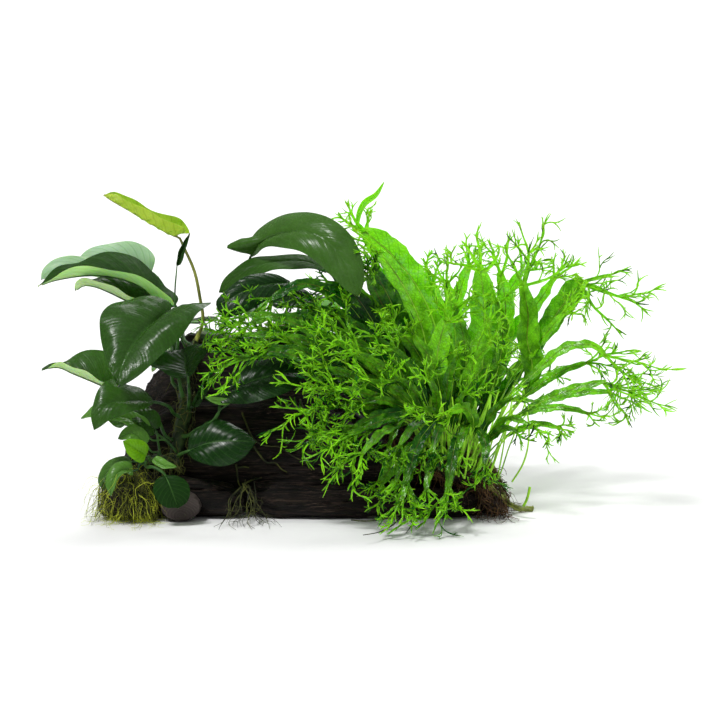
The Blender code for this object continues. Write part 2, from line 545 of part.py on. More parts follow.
def make_rhizome(name, path, radii):
    """A creeping stem with a ring-shaped scar at each old leaf."""
    points = [seen(*place) for place in path]
    rings_wanted = max(4, round(curve_length(points) / SCAR_SPACING * 2))
    fractions = np.linspace(0, 1, rings_wanted)
    centres, _, across, out = strip(points, fractions, RHIZOME_FACE)
    widths = np.interp(fractions, np.linspace(0, 1, len(radii)), radii) * MM
    angles = np.linspace(0, 2 * math.pi, RHIZOME_SIDES, endpoint=False)
    rings = []
    for step in range(rings_wanted):
        radius = widths[step] * (1 - SCAR_DEPTH * (step % 2))
        rings.append(centres[step] + radius * (np.cos(angles)[:, None] * across[step]
                                               + np.sin(angles)[:, None] * out[step]))
    return add_loft(name, rings, "rhizome")


class Sheet:
    """A thin open surface in rows of points, with a share of the full thickness at each point."""

    def __init__(self):
        self.points = []
        self.faces = []
        self.shares = []

    def add_row(self, points, share):
        """Add one row, left to right, and give its point numbers."""
        start = len(self.points)
        self.points.extend(points)
        self.shares.extend([share] * len(points))
        return list(range(start, start + len(points)))

    def join(self, near, far):
        """Fill between two rows with one face a step, or one face where their counts differ."""
        if len(near) == len(far):
            for step in range(len(near) - 1):
                self.faces.append((near[step], near[step + 1], far[step + 1], far[step]))
        else:
            self.faces.append((*near, *reversed(far)))

    def close(self, name, thickness, finish):
        """Make the object and give it its thickness."""
        piece = add_object(name, self.points, self.faces, finish)
        piece.data.shade_smooth()
        piece.data.set_sharp_from_angle(angle=BLADE_EDGE)
        group = piece.vertex_groups.new(name="thickness")
        for index, share in enumerate(self.shares):
            group.add([index], share, "REPLACE")
        solidify = piece.modifiers.new("thickness", "SOLIDIFY")
        solidify.thickness = thickness
        solidify.offset = 0
        solidify.vertex_group = group.name
        solidify.thickness_vertex_group = 0
        return piece


def stalk_foot(carrier, near):
    """Where a stalk begins, just clear of its carrier, and the way out of the carrier there."""
    surface = BVHTree.FromObject(bpy.data.objects[carrier], bpy.context.evaluated_depsgraph_get())
    place, outward, _, _ = surface.find_nearest(Vector(near))
    outward = np.array(outward)
    return np.array(place) + outward * FOOT_CLEARANCE, outward


def leaf_half_width(share, fullness, point):
    """Half the width of an anubias blade along its midrib, as a share of its greatest."""
    def outline(place):
        return np.sqrt((place + fullness) / (1 + fullness)) * (1 - place) ** point
    return outline(share) / outline(np.linspace(0, 1, OUTLINE_STEPS)).max()


def make_leaf(name, on, stalk, blade, width, face, fold, lobe=0, fullness=0.06, point=0.8, tip_face=None):
    """One anubias leaf: a stalk that leaves its rhizome and a folded blade with a pointed tip."""
    blade_points = [seen(*place) for place in blade]
    mix = np.array(BLADE_STEPS)[:, None]
    faces = (1 - mix) * np.array(face) + mix * np.array(tip_face or face)
    midrib, along, across, out = strip(blade_points, BLADE_STEPS, faces)
    half = width / 2 * MM
    lift = math.sin(math.radians(fold))
    spread = math.cos(math.radians(fold))
    columns = WIDE_ROW if width >= WIDE_LEAF else NARROW_ROW

    sheet = Sheet()
    foot, outward = stalk_foot(on, seen(*stalk[0]))
    stalk_points = [foot, foot + outward * STALK_START, *(seen(*place) for place in stalk[1:]), midrib[0]]
    first = STALK_START / curve_length(stalk_points)
    steps = np.concatenate([[0], np.linspace(first, STALK_END, STALK_ROWS - 1)])
    stem, stem_along, _, _ = strip(stalk_points, steps, out[0])
    stem_across = unit(across[0] - stem_along * (stem_along @ across[0])[:, None])
    row = None
    for place, side in zip(stem, stem_across):
        next_row = sheet.add_row([place + side * LEAF_STALK_HALF * column for column in STALK_ROW], 1)
        if row:
            sheet.join(row, next_row)
        row = next_row

    for step, share in enumerate(BLADE_STEPS):
        reach = max(half * leaf_half_width(share, fullness, point), LEAF_TIP_HALF)
        back = lobe * curve_length(blade_points) * max(0, 1 - share / LOBE_END) ** LOBE_CURVE
        if lobe == 0 and step == 0:
            reach = LEAF_STALK_HALF
        points = []
        for column in columns:
            points.append(midrib[step] + across[step] * reach * spread * column
                          + out[step] * reach * lift * abs(column) - along[step] * back * abs(column))
        next_row = sheet.add_row(points, BLADE_SHARE)
        sheet.join(row, next_row)
        row = next_row
    finish = "young_leaf" if name in YOUNG_LEAVES else "anubias_leaf"
    return sheet.close(name, LEAF_THICKNESS, finish)


def frond_half_width(share):
    """Half the width of a frond along its midrib, as a share of its greatest."""
    rise = min(1, max(0, (share - BLADE_START) / (BLADE_FULL - BLADE_START))) ** BLADE_RISE
    fall = 1 - BLADE_NARROWING * max(0, (share - BLADE_SHOULDER) / (1 - BLADE_SHOULDER)) ** BLADE_FALL
    return rise * fall


def grow_crest(sheet, row, tips, out, level):
    """Lead the strip that ends in row on to its tips, splitting it in two between them."""
    start = (sheet.points[row[0]] + sheet.points[row[-1]]) / 2
    goal = np.mean(tips, axis=0)
    ahead = unit(goal - start)
    across = unit(np.cross(ahead, out))
    half = CREST_WIDTHS[min(level, len(CREST_WIDTHS) - 1)] / 2
    if len(tips) == 1:
        end = sheet.add_row([goal - across * CREST_TIP_WIDTH / 2, goal + across * CREST_TIP_WIDTH / 2],
                            FROND_BLADE_SHARE)
        sheet.join(row, end)
        return
    if len(row) == 2:
        fork = start + (goal - start) * FORK_SHARE
        far = sheet.add_row([fork - across * half, fork, fork + across * half], FROND_BLADE_SHARE)
        sheet.join(row, far)
        row = far
    ordered = sorted(tips, key=lambda tip: float(np.dot(tip - start, across)))
    half_way = len(ordered) // 2
    grow_crest(sheet, row[:2], ordered[:half_way], out, level + 1)
    grow_crest(sheet, row[1:], ordered[half_way:], out, level + 1)


def make_frond(name, on, path, width, face, tips):
    """One fern frond: a winged stalk, a wavy blade and a crest that forks to its tips."""
    foot, outward = stalk_foot(on, seen(*path[0]))
    points = [foot, foot + outward * STALK_START, *(seen(*place) for place in path[1:])]
    steps = (0, STALK_START / curve_length(points), *FROND_STEPS)
    midrib, _, across, out = strip(points, steps, face)
    sheet = Sheet()
    row = None
    for step, share in enumerate(steps):
        blade_share = frond_half_width(share)
        reach = max(width / 2 * MM * blade_share, FROND_STALK_HALF)
        wave = FROND_WAVE * blade_share * (-1) ** step
        on_stalk = share < FROND_WING_START
        places = [midrib[step] + (across[step] * reach - out[step] * wave) * column
                  for column in (STALK_ROW if on_stalk else NARROW_ROW)]
        next_row = sheet.add_row(places, 1 if on_stalk else FROND_BLADE_SHARE)
        if row:
            sheet.join(row, next_row)
        row = next_row
    grow_crest(sheet, row, [seen(*tip) for tip in tips], out[-1], 0)
    return sheet.close(name, FROND_THICKNESS, "fern_frond")


def make_wood():
    """The four pieces of driftwood, and the guides that keep other pieces clear of them."""
    trunk = make_trunk()
    left = make_bale("driftwood_lower_limb_left", LEFT_LIMB, LIMB_SIDES, LIMB_GROOVE, "wet_dark_wood")
    right = make_bale("driftwood_lower_limb_right", RIGHT_LIMB, LIMB_SIDES, LIMB_GROOVE, "wet_dark_wood")
    stub = make_stub()
    guides = {piece.name: clearance_around(piece) for piece in (trunk, left, right, stub)}
    cut_clear(left, [guides["driftwood_trunk"]])
    cut_clear(right, [guides["driftwood_trunk"]])
    cut_clear(stub, [guides["driftwood_lower_limb_left"]])
    return guides


def make_rhizomes(guides):
    """The creeping stems, cut where they lie against the wood or against each other."""
    for name, shape in RHIZOMES.items():
        guides[name] = clearance_around(make_rhizome(name, **shape))
    trunk = guides["driftwood_trunk"]
    cut_clear(bpy.data.objects["anubias_rhizome"], [trunk])
    cut_clear(bpy.data.objects["anubias_side_shoot"], [guides["anubias_rhizome"]])
    cut_clear(bpy.data.objects["anubias_top_rhizome"], [trunk, guides["anubias_rhizome"]])


def make_roots(guides):
    """The root masses, each one solid of its form, cut clear of what it clings to."""
    neighbours = {
        "fern_root_mat": (ROOT_MAT, ("driftwood_trunk", "driftwood_lower_limb_right", "fern_rhizome",
                                     "fern_rhizome_front", "fern_rhizome_back")),
        "fern_root_beard": (ROOT_BEARD, ("driftwood_trunk", "driftwood_lower_limb_right", "fern_rhizome",
                                         "fern_rhizome_front", "fern_root_mat")),
        "anubias_root_tuft": (ROOT_TUFT, ("driftwood_trunk", "driftwood_lower_limb_left",
                                          "anubias_side_shoot", "driftwood_sawn_stub")),
        "anubias_root_fan": (ROOT_FAN, ("driftwood_trunk", "driftwood_lower_limb_left",
                                        "driftwood_lower_limb_right")),
    }
    for name, (sections, carriers) in neighbours.items():
        piece = make_bale(name, sections, ROOT_SIDES, ROOT_GROOVE, "roots")
        guides[name] = clearance_around(piece)
        cut_clear(piece, [guides[carrier] for carrier in carriers])


def build():
    """Make every piece."""
    clear_scene()
    for name, (colour, roughness) in FINISHES.items():
        make_finish(name, colour, roughness)
    guides = make_wood()
    make_rhizomes(guides)
    make_roots(guides)
    for name, shape in ANUBIAS_LEAVES.items():
        make_leaf(name, **shape)
    for name, shape in FERN_FRONDS.items():
        make_frond(name, **shape)


build()
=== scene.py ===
"""The looks of a java fern and an anubias on driftwood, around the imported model."""

import math

import bpy
import numpy as np
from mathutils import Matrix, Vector
from mathutils.bvhtree import BVHTree


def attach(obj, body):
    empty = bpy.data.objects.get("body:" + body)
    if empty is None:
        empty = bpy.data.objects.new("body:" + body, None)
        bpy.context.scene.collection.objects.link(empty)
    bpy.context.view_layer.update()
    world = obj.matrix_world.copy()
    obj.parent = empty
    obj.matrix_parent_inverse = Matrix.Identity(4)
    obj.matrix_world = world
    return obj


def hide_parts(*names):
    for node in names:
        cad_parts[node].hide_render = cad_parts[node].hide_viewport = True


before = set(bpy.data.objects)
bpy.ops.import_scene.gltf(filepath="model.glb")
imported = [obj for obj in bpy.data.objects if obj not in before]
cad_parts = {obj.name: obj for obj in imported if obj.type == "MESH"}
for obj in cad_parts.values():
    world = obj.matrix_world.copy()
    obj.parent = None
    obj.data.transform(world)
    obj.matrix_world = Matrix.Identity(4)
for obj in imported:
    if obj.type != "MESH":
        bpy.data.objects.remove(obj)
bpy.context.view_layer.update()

MM = 0.001
UP = np.array([0.0, 0.0, 1.0])

# The photograph's view. Paths are (column, row, depth): the pixel of the 720 by 720 photograph
# where the point shows, and its depth in millimetres, less than 0 towards the viewer.
PIXEL = 0.65 * MM
FRAME_SIZE = 720
FRAME_CENTRE = 360
ORIGIN_COLUMN = 304
ORIGIN_ROW = 503
VIEW_DISTANCE = 2.0
SENSOR = 36
VIEW_TILT = math.radians(10)
VIEW_RIGHT = np.array([1.0, 0.0, 0.0])
VIEW_AHEAD = np.array([0.0, math.cos(VIEW_TILT), -math.sin(VIEW_TILT)])
VIEW_UP = np.array([0.0, math.sin(VIEW_TILT), math.cos(VIEW_TILT)])
VIEW_CENTRE = (VIEW_RIGHT * (FRAME_CENTRE - ORIGIN_COLUMN) + VIEW_UP * (ORIGIN_ROW - FRAME_CENTRE)) * PIXEL
VIEWPOINT = VIEW_CENTRE - VIEW_AHEAD * VIEW_DISTANCE

# Anubias leaves whose outline shows: the midrib and the two margins, each from the stalk to the
# tip. out is the way the upper side looks, crown how far each half bulges.
SHOWN_LEAVES = {
    "anubias_leaf_front_heart": dict(
        stalk=((183, 398, -24), (178, 374, -19), (173, 345, -28)),
        rib=((168, 315, -38), (153, 323, -50), (130, 350, -67), (119, 376, -78), (118, 387, -82)),
        far=((170, 312, -37), (172, 305, -33), (152, 299, -32), (130, 299, -34), (112, 303, -42),
             (101, 316, -50), (100, 333, -58), (106, 360, -70), (118, 387, -82)),
        near=((171, 316, -39), (186, 308, -40), (211, 302, -44), (196, 318, -56), (181, 334, -64),
              (166, 350, -70), (149, 368, -76), (131, 380, -80), (118, 387, -82)),
        out=(-0.3, -0.75, 0.6), crown=0.1, tone=0.36, quilt=0.75),
    "anubias_leaf_left_arched": dict(
        stalk=((181, 374, -9), (178, 345, -6), (177, 322, -5)),
        rib=((175, 306, -5), (156, 300, -8), (145, 289, -9), (130, 281, -9), (110, 276, -9), (87, 275, -9),
             (64, 278, -9), (51, 281, -8), (38, 286, -6)),
        near=((175, 306, -6), (170, 296, -14), (152, 283, -18), (130, 273, -19), (110, 268, -19),
              (87, 267, -18), (64, 271, -14), (50, 279, -10), (38, 286, -6)),
        far=((175, 306, -4), (178, 299, 3), (166, 288, 8), (153, 270, 9), (139, 259, 9), (122, 254, 9),
             (104, 252, 9), (92, 255, 8), (78, 263, 6), (59, 268, 2), (38, 286, -6)),
        out=(0, 0.2, 1), crown=0.05, tone=0.25, quilt=0.3),
    "anubias_leaf_left_rear": dict(
        stalk=((191, 345, 6), (181, 318, 26), (166, 290, 36)),
        rib=((151, 272, 38), (130, 260, 38), (102, 256, 37), (74, 262, 36)),
        near=((151, 276, 34), (140, 276, 30), (120, 272, 29), (98, 268, 29), (74, 262, 36)),
        far=((152, 271, 40), (155, 258, 42), (148, 248, 45), (137, 243, 46), (119, 242, 46), (102, 245, 45),
             (86, 251, 42), (74, 262, 36)),
        out=(0, -0.4, 0.9), crown=0.06, tone=1.3, quilt=0.4),
    "anubias_leaf_left_pale": dict(
        stalk=((183, 362, -1), (175, 335, 13), (168, 316, 19)),
        rib=((160, 300, 20), (125, 280, 20), (87, 268, 20), (58, 269, 20), (41, 280, 19)),
        near=((160, 301, 18), (125, 285, 15), (87, 276, 14), (58, 277, 16), (41, 280, 19)),
        far=((161, 298, 22), (130, 268, 26), (100, 258, 26), (87, 257, 26), (67, 256, 25), (51, 261, 24),
             (42, 271, 21), (41, 280, 19)),
        out=(0, -0.5, 0.8), crown=0.05, tone=1.15, quilt=0.3),
    "anubias_leaf_left_under": dict(
        stalk=((180, 388, -16), (173, 358, -11), (170, 334, -8)),
        rib=((167, 310, -8), (150, 306, -9), (127, 300, -10), (110, 292, -11), (94, 286, -11), (84, 285, -11),
             (75, 291, -10)),
        near=((166, 308, -12), (150, 300, -16), (130, 295, -17), (112, 286, -18), (96, 280, -17),
              (83, 279, -14), (75, 284, -11), (75, 291, -10)),
        far=((168, 308, -3), (156, 297, 2), (136, 281, 3), (116, 275, 3), (99, 278, 0), (87, 281, -5),
             (75, 291, -10)),
        out=(0, 0.2, 1), crown=0.05, tone=0.45, quilt=0.3),
    "anubias_leaf_left_low": dict(
        stalk=((173, 440, -37), (158, 420, -37), (142, 402, -35)),
        rib=((126, 392, -34), (112, 389, -33), (102, 385, -34), (90, 380, -34), (73, 373, -33),
             (59, 367, -32), (42, 369, -31)),
        near=((126, 390, -38), (106, 381, -42), (94, 377, -42), (77, 368, -40), (61, 363, -36),
              (50, 366, -33), (42, 369, -31)),
        far=((128, 388, -30), (120, 366, -24), (103, 350, -20), (94, 350, -20), (77, 355, -21),
             (63, 361, -25), (52, 363, -29), (42, 369, -31)),
        out=(0, 0.1, 1), crown=0.05, tone=0.45, quilt=0.3),
    "anubias_leaf_left_front": dict(
        stalk=((179, 416, -33), (168, 406, -44)),
        rib=((153, 402, -50), (140, 401, -56), (128, 401, -60), (115, 402, -64), (106, 406, -67),
             (98, 418, -70), (94, 430, -71)),
        far=((153, 400, -49), (147, 393, -46), (140, 389, -46), (128, 385, -48), (116, 380, -52),
             (107, 381, -56), (98, 390, -61), (93, 404, -66), (91, 416, -69), (94, 430, -71)),
        near=((153, 404, -51), (147, 407, -56), (140, 410, -62), (125, 414, -68), (110, 420, -71),
              (101, 426, -72), (94, 430, -71)),
        out=(-0.2, -0.6, 0.75), crown=0.1, tone=0.43, quilt=0.5),
    "anubias_leaf_front_low": dict(
        stalk=((178, 456, -44), (183, 453, -49)),
        rib=((188, 451, -52), (205, 444, -55), (222, 441, -57), (240, 441, -58), (256, 442, -56)),
        far=((188, 449, -52), (190, 438, -50), (199, 427, -48), (212, 420, -47), (226, 421, -48),
             (240, 429, -51), (256, 442, -56)),
        near=((188, 453, -52), (191, 457, -56), (202, 463, -60), (217, 466, -62), (232, 464, -62),
              (246, 455, -60), (256, 442, -56)),
        out=(0, -0.9, 0.4), crown=0.1, tone=0.05, quilt=0.2),
    "anubias_leaf_knee": dict(
        stalk=((184, 436, -38), (196, 430, -43), (213, 421, -46), (219, 412, -46)),
        rib=((221, 400, -44), (235, 390, -43), (252, 381, -41), (270, 376, -39), (288, 373, -36), (306, 373, -33)),
        far=((221, 398, -43), (222, 389, -38), (229, 378, -34), (243, 366, -31), (262, 359, -29),
             (282, 357, -28), (298, 361, -29), (306, 373, -33)),
        near=((221, 401, -45), (213, 396, -46), (205, 397, -49), (212, 404, -53), (228, 403, -54),
              (248, 403, -54), (268, 400, -52), (290, 390, -46), (301, 381, -39), (306, 373, -33)),
        out=(0.1, -0.6, 0.8), crown=0.09, tone=0.1, quilt=0.5),
    "anubias_leaf_middle_folded": dict(
        stalk=((188, 410, -30), (189, 396, -40)),
        rib=((188, 377, -47), (186, 369, -41), (185, 359, -35), (184, 349, -30)),
        far=((187, 378, -47), (176, 377, -47), (160, 371, -45), (150, 364, -42), (156, 356, -38),
             (170, 350, -33), (184, 349, -30)),
        near=((189, 377, -47), (195, 371, -46), (203, 358, -42), (210, 344, -37), (200, 343, -32),
              (191, 346, -30), (184, 349, -30)),
        out=(0, -0.5, 0.9), crown=0.05, tone=0.2, quilt=0.3),
    "anubias_leaf_top_arched": dict(
        stalk=((262, 334, 13), (257, 310, 20), (252, 280, 23)),
        rib=((251, 256, 17), (262, 243, 10), (280, 234, 2), (300, 231, -6), (322, 238, -14), (341, 257, -21),
             (353, 277, -27), (359, 297, -31)),
        far=((250, 254, 18), (238, 252, 17), (226, 247, 15), (235, 241, 18), (246, 243, 20), (259, 231, 19),
             (270, 222, 17), (284, 214, 13), (300, 211, 7), (316, 213, 0), (331, 219, -6), (346, 230, -12),
             (357, 245, -17), (363, 263, -22), (364, 281, -27), (359, 297, -31)),
        near=((252, 257, 16), (258, 254, 11), (269, 247, 2), (286, 248, -9), (303, 253, -16), (317, 262, -21),
              (332, 276, -26), (347, 291, -30), (359, 297, -31)),
        out=(0.1, -0.6, 0.8), crown=0.1, tone=0.56, quilt=0.6),
    "anubias_leaf_top_left": dict(
        stalk=((299, 326, 15), (321, 313, 29), (336, 298, 30), (337, 284, 21)),
        rib=((326, 271, 12), (310, 263, 11), (290, 261, 10), (268, 263, 9), (248, 270, 8), (231, 281, 7),
             (219, 292, 6)),
        far=((326, 269, 14), (310, 257, 18), (290, 254, 18), (268, 256, 17), (248, 260, 15), (233, 270, 12),
             (223, 281, 9), (219, 292, 6)),
        near=((326, 273, 10), (308, 268, 3), (290, 269, 1), (270, 271, 0), (252, 278, 1), (236, 286, 3),
              (225, 293, 5), (219, 292, 6)),
        out=(0, -0.6, 0.8), crown=0.07, tone=0.4, quilt=0.5),
    "anubias_leaf_top_dark": dict(
        stalk=((272, 332, 9), (285, 314, 3), (291, 296, -3)),
        rib=((290, 283, -8), (270, 284, -14), (250, 289, -19), (232, 298, -23), (218, 311, -25)),
        far=((290, 281, -7), (280, 276, -8), (263, 273, -10), (248, 276, -13), (235, 283, -16),
             (223, 293, -20), (216, 303, -23), (218, 311, -25)),
        near=((290, 285, -9), (284, 292, -15), (268, 300, -21), (252, 309, -26), (237, 316, -28),
              (226, 317, -28), (218, 311, -25)),
        out=(-0.3, -0.75, 0.55), crown=0.1, tone=0.0, quilt=0.4),
    "anubias_leaf_top_small": dict(
        stalk=((288, 326, 12), (303, 318, 13), (314, 313, 14)),
        rib=((316, 304, 13), (300, 297, 12), (285, 298, 10), (270, 304, 9)),
        far=((316, 303, 14), (306, 290, 17), (292, 288, 16), (278, 294, 12), (270, 304, 9)),
        near=((316, 306, 12), (300, 307, 7), (286, 308, 6), (276, 308, 7), (270, 304, 9)),
        out=(0, -0.5, 0.85), crown=0.08, tone=0.05, quilt=0.4),
    "anubias_leaf_round": dict(
        stalk=((146, 464, -61), (153, 467, -66)),
        rib=((165, 475, -69), (170, 486, -72), (174, 497, -73), (178, 508, -72)),
        far=((164, 476, -69), (156, 480, -70), (153, 489, -71), (157, 500, -73), (166, 507, -73), (178, 508, -72)),
        near=((166, 475, -69), (177, 476, -70), (187, 482, -71), (190, 492, -72), (187, 502, -72), (178, 508, -72)),
        out=(0.1, -1, 0.1), crown=0.08, tone=0.12, quilt=0.2),
    "anubias_leaf_new_rolled": dict(
        stalk=((197, 337, 0), (203, 320, -3), (200, 298, -6), (194, 270, -8), (185, 250, -9)),
        rib=((177, 236, -10), (163, 229, -12), (150, 222, -13), (128, 209, -12), (112, 200, -10), (104, 195, -8)),
        near=((179, 234, -12), (186, 231, -14), (168, 221, -16), (150, 212, -16), (130, 202, -14),
              (114, 194, -11), (104, 195, -8)),
        far=((178, 233, -8), (190, 233, -5), (182, 220, -4), (168, 216, -3), (150, 209, -3), (130, 198, -4),
             (112, 191, -6), (104, 195, -8)),
        out=(0.2, 0.1, 1), crown=-0.35, tone=1.0, quilt=2.2),
}

DULL_LEAVES = ("anubias_leaf_round", "anubias_leaf_top_left", "anubias_leaf_left_arched")

# Leaves that are given by width alone: foot, stalk and midrib, width in millimetres, the way the
# upper side looks, the upward fold of each half in degrees, and the lobes behind the base
PLAIN_LEAVES = {
    "anubias_leaf_new_spear": dict(
        on="anubias_rhizome", stalk=((187, 352, -7), (181, 338, -19), (176, 320, -26), (175, 290, -27)),
        blade=((177, 266, -25), (181, 250, -23), (190, 233, -22)),
        width=7, face=(0.4, -0.9, 0.2), fold=55, tone=0.2),
    "anubias_leaf_shoot_dark": dict(
        on="anubias_side_shoot", stalk=((160, 454, -50), (158, 442, -47)),
        blade=((155, 430, -46), (142, 418, -47), (128, 415, -48)),
        width=18, face=(-0.2, -0.5, 0.8), fold=12, lobe=0.05, tone=0.35),
    "anubias_leaf_shoot_yellow": dict(
        on="anubias_side_shoot", stalk=((150, 457, -60), (149, 457, -64)),
        blade=((146, 456, -66), (135, 449, -70), (123, 441, -72)),
        width=14, face=(0, -0.85, 0.5), fold=12, tone=1.0),
    "anubias_leaf_rear_left": dict(
        on="anubias_top_rhizome", stalk=((206, 332, 14), (206, 326, 28)),
        blade=((200, 322, 42), (184, 323, 60), (168, 333, 76), (154, 354, 88)),
        width=34, face=(-0.3, 0.5, 0.8), fold=8, lobe=0.12, tone=0.3),
    "anubias_leaf_rear_right": dict(
        on="anubias_top_rhizome", stalk=((288, 331, 21), (296, 318, 34)),
        blade=((301, 304, 46), (311, 300, 62), (318, 312, 82), (323, 334, 96)),
        width=36, face=(0.2, 0.55, 0.8), fold=8, lobe=0.12, tone=0.4),
}
SMALL_LEAVES = (
    dict(on="anubias_rhizome", stalk=((176, 452, -42), (160, 436, -44), (140, 426, -45)),
         blade=((125, 425, -45), (100, 412, -45), (81, 418, -45)), width=20, face=(0, -0.3, 0.9), fold=10,
         tone=0.9),
    dict(on="anubias_rhizome", stalk=((176, 452, -42), (165, 440, -46), (152, 440, -48)),
         blade=((147, 435, -50), (135, 422, -51), (120, 417, -52), (108, 420, -52)), width=14,
         face=(-0.1, -0.5, 0.8), fold=10, tone=1.2),
    dict(on="anubias_side_shoot", stalk=((157, 458, -53), (152, 452, -57)),
         blade=((146, 445, -60), (132, 433, -60), (118, 439, -60)), width=12, face=(0, -0.7, 0.6), fold=8,
         tone=0.9),
    dict(on="anubias_side_shoot", stalk=((143, 462, -59), (138, 462, -58)),
         blade=((132, 462, -55), (112, 468, -55), (103, 480, -55), (108, 491, -55)), width=13,
         face=(-0.6, -0.5, 0.7), fold=14, tone=0.6),
    dict(on="anubias_side_shoot", stalk=((142, 465, -60), (138, 469, -61)),
         blade=((133, 471, -62), (122, 470, -66), (113, 480, -70), (111, 496, -72)), width=12,
         face=(-0.5, -0.7, 0.5), fold=20, tone=0.85),
    dict(on="anubias_side_shoot", stalk=((150, 461, -58), (151, 460, -61)),
         blade=((153, 459, -63), (165, 466, -66), (177, 467, -66)), width=8, face=(0, -0.6, 0.8), fold=25,
         tone=1.1),
    dict(on="anubias_rhizome", stalk=((184, 436, -38), (196, 429, -45), (213, 420, -49), (219, 411, -50)),
         blade=((230, 402, -52), (218, 401, -53), (205, 397, -51)), width=5, face=(0, -0.9, 0.3), fold=20,
         tone=1.3),
    dict(on="anubias_rhizome", stalk=((188, 408, -28), (190, 408, -32)),
         blade=((193, 407, -34), (197, 400, -34), (206, 382, -32), (214, 362, -28)), width=8,
         face=(0.3, -0.9, 0.2), fold=45, tone=0.2),
    dict(on="anubias_rhizome", stalk=((192, 352, 4), (194, 352, 18)),
         blade=((192, 350, 26), (180, 350, 38), (166, 358, 48), (152, 372, 56)), width=22,
         face=(-0.3, 0.4, 0.8), fold=10, lobe=0.08, tone=0.45),
    dict(on="anubias_top_rhizome", stalk=((240, 342, 16), (240, 326, 30)),
         blade=((240, 312, 42), (244, 300, 58), (252, 304, 76), (256, 322, 90)), width=28,
         face=(0, 0.5, 0.8), fold=8, lobe=0.1, tone=0.35),
    dict(on="anubias_top_rhizome", stalk=((222, 340, 16), (220, 336, 30)),
         blade=((218, 332, 42), (214, 336, 60), (210, 352, 74), (208, 372, 82)), width=22,
         face=(0, 0.7, 0.6), fold=8, lobe=0.08, tone=0.3),
    dict(on="anubias_top_rhizome", stalk=((270, 336, 17), (272, 332, 32)),
         blade=((276, 326, 46), (282, 326, 62), (288, 342, 78), (292, 366, 86)), width=24,
         face=(0.1, 0.7, 0.6), fold=8, lobe=0.08, tone=0.5),
)

